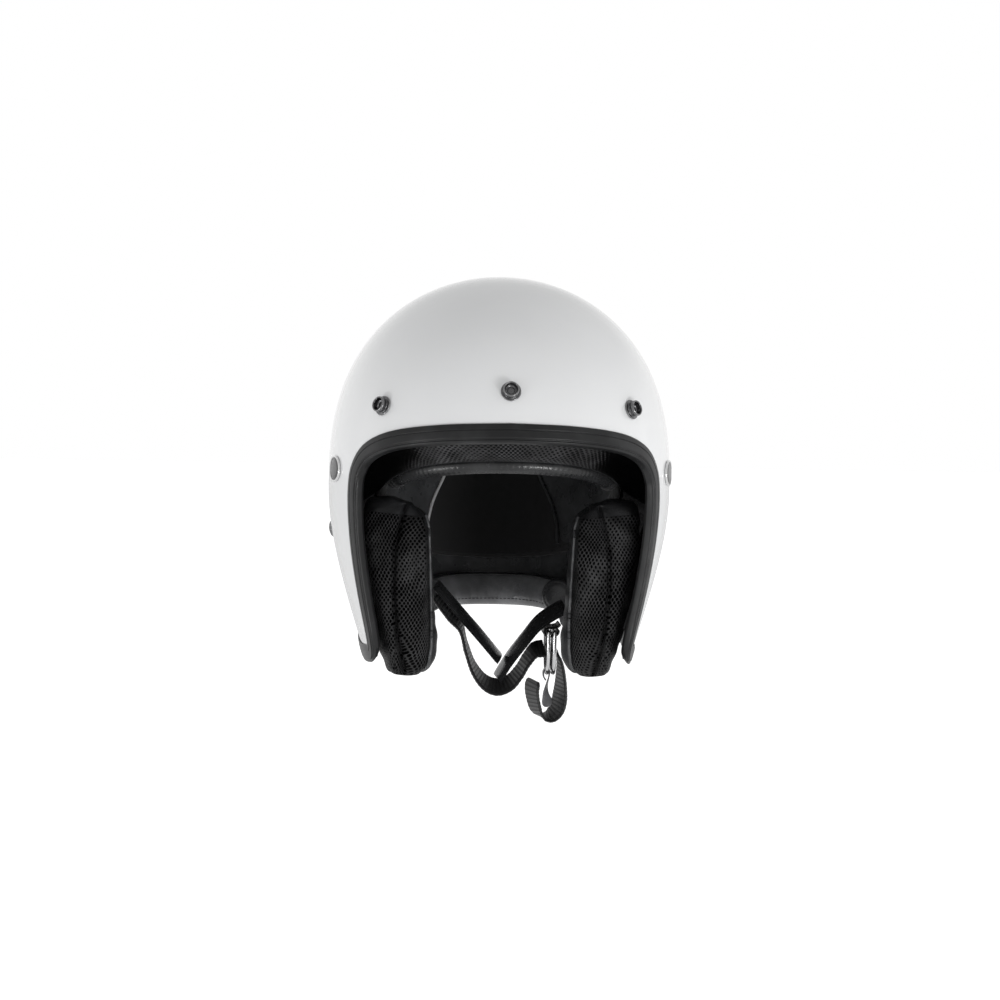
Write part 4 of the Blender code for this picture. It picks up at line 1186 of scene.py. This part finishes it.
def make_upper_straps(looks):
    """Webbing from the rivets to where the sleeves begin; its lower end follows the chin strap."""
    for side, name, start, end, foot in (
        (1, "left", -0.064, -0.0872, (0.0525, -0.0847)), (-1, "right", -0.060, -0.0675, (-0.0485, -0.0675))
    ):
        top = at(side * RIVET_AZIMUTH, -0.0215, 0.0082)
        under = at(side * RIVET_AZIMUTH, -0.0430, 0.0082)
        path = [
            (top[0], top[2]), ((top[0] + under[0]) / 2, -0.0320), (under[0], under[2]),
            (side * 0.103, -0.0545), (side * 0.083, -0.0640), (side * 0.062, (end - 0.066) / 2 - 0.002), foot,
        ]
        frames = strap_frames(path, 160)
        piece = web_strap(f"strap_webbing_{name}", frames, band_outline(32), looks["webbing"], None, 0.15)
        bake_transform(piece)
        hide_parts(f"upper_strap_{name}")


def make_chin_strap(looks):
    """The slack webbing, its two padded sleeves and the fold that holds the rings."""
    right = [(-0.0440, -0.0713), (-0.0290, -0.0885), (-0.0130, -0.1065), (0.0030, -0.1254)]
    left = [
        (0.0500, -0.0862), (0.0388, -0.0926), (0.0300, -0.0995), (0.0205, -0.1112), (0.0102, -0.1250),
        (0.0015, -0.1390),
    ]
    slack = [
        (-0.0440, -0.0795), (-0.0345, -0.0915), (-0.0260, -0.1015), (-0.0215, -0.1170), (-0.0160, -0.1315),
        (-0.0082, -0.1418), (0.0010, -0.1458), (0.0102, -0.1426), (0.0170, -0.1350), (0.0228, -0.1255),
        (0.0284, -0.1188), (0.0354, -0.1172),
    ]
    hanger = [
        (0.0460, -0.0985), (0.0440, -0.1006), (0.0400, -0.1013), (0.0368, -0.1014), (0.0345, -0.1034),
        (0.0350, -0.1062), (0.0375, -0.1072), (0.0412, -0.1072), (0.0441, -0.1058), (0.0449, -0.1030),
    ]
    seam_aside, seam_lift = 0.0112, 0.0007
    stations = np.arange(120)
    ends = np.clip(np.minimum(stations, stations[::-1]) / 4, 0.35, 1) ** 0.4
    for name, path in (("right", right), ("left", left)):
        frames = strap_frames(path, 120, SLEEVE_TILT)
        sleeve = strap(
            f"padded_sleeve_{name}", frames, SLEEVE_WIDTH, SLEEVE_THICKNESS * ends[:, None, None],
            padded_outline(48), looks["sleeve"], "chin_strap",
        )
        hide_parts(f"chin_sleeve_{name}")
        points, across, normal = (part[2:-2] for part in frames)
        for k, (edge, face) in enumerate(((1, 1), (-1, 1), (1, -1), (-1, -1))):
            sewn = points + across * seam_aside * edge + normal * seam_lift * face
            row = stitches(
                f"sleeve_stitches_{name}_{k + 1}", sewn, normal * face, looks["thread"],
                0.0030, 0.00204, 0.00016, "chin_strap",
            )
    frames = strap_frames(slack, 420, 26)
    band = web_strap("slack_webbing", frames, band_outline(40), looks["webbing"], "chin_strap", 0.24)
    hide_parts("chin_webbing")
    fold = strap(
        "ring_loop", strap_frames(hanger, 140), WEB_WIDTH, 0.0014, band_outline(32), looks["webbing"],
        "chin_strap", 0.15,
    )
    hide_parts("ring_hanger")


def make_rings(looks):
    """D-rings of round wire, their bars straight and their bows flattened, as in the part."""
    for name, x in RING_X.items():
        turn = np.linspace(0, math.pi, 90)
        across = np.sign(np.cos(turn)) * np.abs(np.cos(turn)) ** 0.77
        bow = np.stack([
            np.full(90, x), STRAP_Y + RING_HALF_WIDTH * across, RING_BAR_Z - RING_DROP * np.sin(turn) ** 0.77
        ], axis=1)
        bar = [(x, STRAP_Y + RING_HALF_WIDTH * u, RING_BAR_Z + 0.0002) for u in (-0.9, -0.45, 0, 0.45, 0.9)]
        path = evenly(np.vstack([bow, bar, bow[:1]]), 150, closed=True)
        along = tangents(path, True)
        side = np.array([1.0, 0, 0])
        up = np.cross(along, side)
        around = np.linspace(0, math.tau, 20, endpoint=False)[None, :, None]
        grid = path[:, None] + RING_WIRE * (side * np.cos(around) + up[:, None] * np.sin(around))
        ring = surface(f"wire_{name}", grid, looks["bright"], loop=True, body=name)
        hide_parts(name)


def make_tail(looks):
    """Free end of the webbing, narrowed at its tip, with a press stud."""
    path = [
        (0.0366, -0.1172), (0.0405, -0.1172), (0.0446, -0.1205), (0.0472, -0.1290), (0.0478, -0.1450),
        (0.0462, -0.1590), (0.0415, -0.1660), (0.0355, -0.1672), (0.0306, -0.1632), (0.0278, -0.1550),
        (0.0268, -0.1470), (0.0280, -0.1405),
    ]
    frames = strap_frames(path, 360, 6, yaw=TAIL_YAW)
    to_tip = np.linalg.norm(frames[0] - frames[0][-1], axis=1)
    width = WEB_WIDTH - 0.005 * (1 - np.clip(to_tip / 0.004, 0, 1)) ** 2
    tail = strap(
        "tail_webbing", frames, width, WEB_THICKNESS, band_outline(40), looks["webbing"], "strap_tail", 0.22
    )
    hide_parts("strap_tail")
    cap = [
        (0, 0.0018), (0.0020, 0.0017), (0.0031, 0.0015), (0.0035, 0.0016), (0.0041, 0.0015), (0.0055, 0.0008),
        (0.0056, 0.0002), (0.0050, 0.0002), (0.0046, 0.0006), (0.0034, 0.0010), (0, 0.0012),
    ]
    yaw = math.radians(TAIL_YAW)
    place = facing((0.0285, STRAP_Y + 0.0006, -0.1480), (math.cos(yaw), math.sin(yaw), 0))
    stud = turned("press_tail_stud", rounded(cap, 0.0002), place, looks["gunmetal"], body="strap_tail")
    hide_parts("tail_stud")


def make_pull_tab(looks):
    """Moulded release tab, narrow at the ring and broad and round at its free end."""
    x, z = RING_X["d_ring_inner"], RING_BAR_Z - RING_DROP
    path = [
        (x - 0.0006, z - 0.0052), (x - 0.0021, z - 0.0026), (x - 0.0021, z + 0.0012), (x, z + 0.0031),
        (x + 0.0021, z + 0.0012), (x + 0.0018, z - 0.0030), (x + 0.0006, z - 0.0080),
        (x - 0.0003, z - 0.0140), (x + 0.0005, z - 0.0200), (x + 0.0022, z - 0.0250),
    ]
    share = np.linspace(0, 1, 200)
    width = 0.0075 + 0.0028 * np.clip((share - 0.5) / 0.35, 0, 1)
    width *= np.sqrt(np.clip(1 - np.clip((share - 0.86) / 0.14, 0, 1) ** 2, 0.03, 1))
    frames = strap_frames(path, 200, 0, 75)
    tab = strap("release_tab", frames, width, 0.0011, band_outline(28, 0.2), looks["tab"], "pull_tab")
    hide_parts("pull_tab")


# ---------------------------------------------------------------- the rest


def finish_frame(looks):
    """Procedural materials for the frame's own nodes that stay on show."""
    finishes = {
        "eps_liner": "foam", "cheek_eps_left": "foam", "cheek_eps_right": "foam",
        "cheek_plate_left": "plastic", "cheek_plate_right": "plastic",
        "anchor_plate_left": "bright", "anchor_plate_right": "bright",
        "stud_washer_center": "bright", "stud_washer_left": "bright", "stud_washer_right": "bright",
    }
    for node, look in finishes.items():
        mesh = frame["nodes"][node].data
        mesh.materials.clear()
        mesh.materials.append(looks[look])


def make_looks():
    return {
        "paint": gelcoat(),
        "rubber": rubber(),
        "foam": foam(),
        "pad": pad_cover(),
        "brow": brow_cover(),
        "vinyl": vinyl(),
        "satin": vinyl("satin_vinyl", (0.040, 0.041, 0.043), 0.30, 0.00005),
        "sleeve": vinyl("sleeve_vinyl", (0.013, 0.0133, 0.014), 0.22, 0.00004),
        # Painted light: a paler copy of the satin vinyl, standing in for the light on the nape.
        "nape": vinyl("painted_light_nape_vinyl", (0.120, 0.121, 0.126), 0.32, 0.00005),
        "roll": vinyl("roll_vinyl", (0.014, 0.0143, 0.015), 0.24, 0.00005),
        # Painted highlight: a pale copy of the piping vinyl, used on one side's piping only.
        "piping": vinyl("piping_vinyl_painted_highlight", (0.42, 0.42, 0.425), 0.28, 0.00004),
        "tab": vinyl("tab_vinyl", (0.10, 0.10, 0.105), 0.24, 0.00003),
        "knit": knit(),
        "webbing": webbing(),
        "thread": thread(),
        "gunmetal": steel("gunmetal", (0.13, 0.13, 0.135), (0.55, 0.55, 0.55), 0.26),
        "bright": steel("nickel_plate", (0.62, 0.62, 0.63), (0.85, 0.85, 0.85), 0.16),
        "plastic": plastic("black_nylon", (0.045, 0.045, 0.047), 0.5),
        "badge": plastic("badge_lacquer", (0.035, 0.035, 0.037), 0.22),
    }


make_camera()
make_studio()
looks = make_looks()
make_shell(looks)
make_trim(looks)
make_studs(looks)
make_rivets(looks)
make_badges(looks)
make_brow_pad(looks)
make_brow_roll(looks)
make_comfort_liner(looks)
make_neck_roll(looks)
make_cheek_pads(looks)
make_ear_pads(looks)
make_upper_straps(looks)
make_chin_strap(looks)
make_rings(looks)
make_tail(looks)
make_pull_tab(looks)
finish_frame(looks)
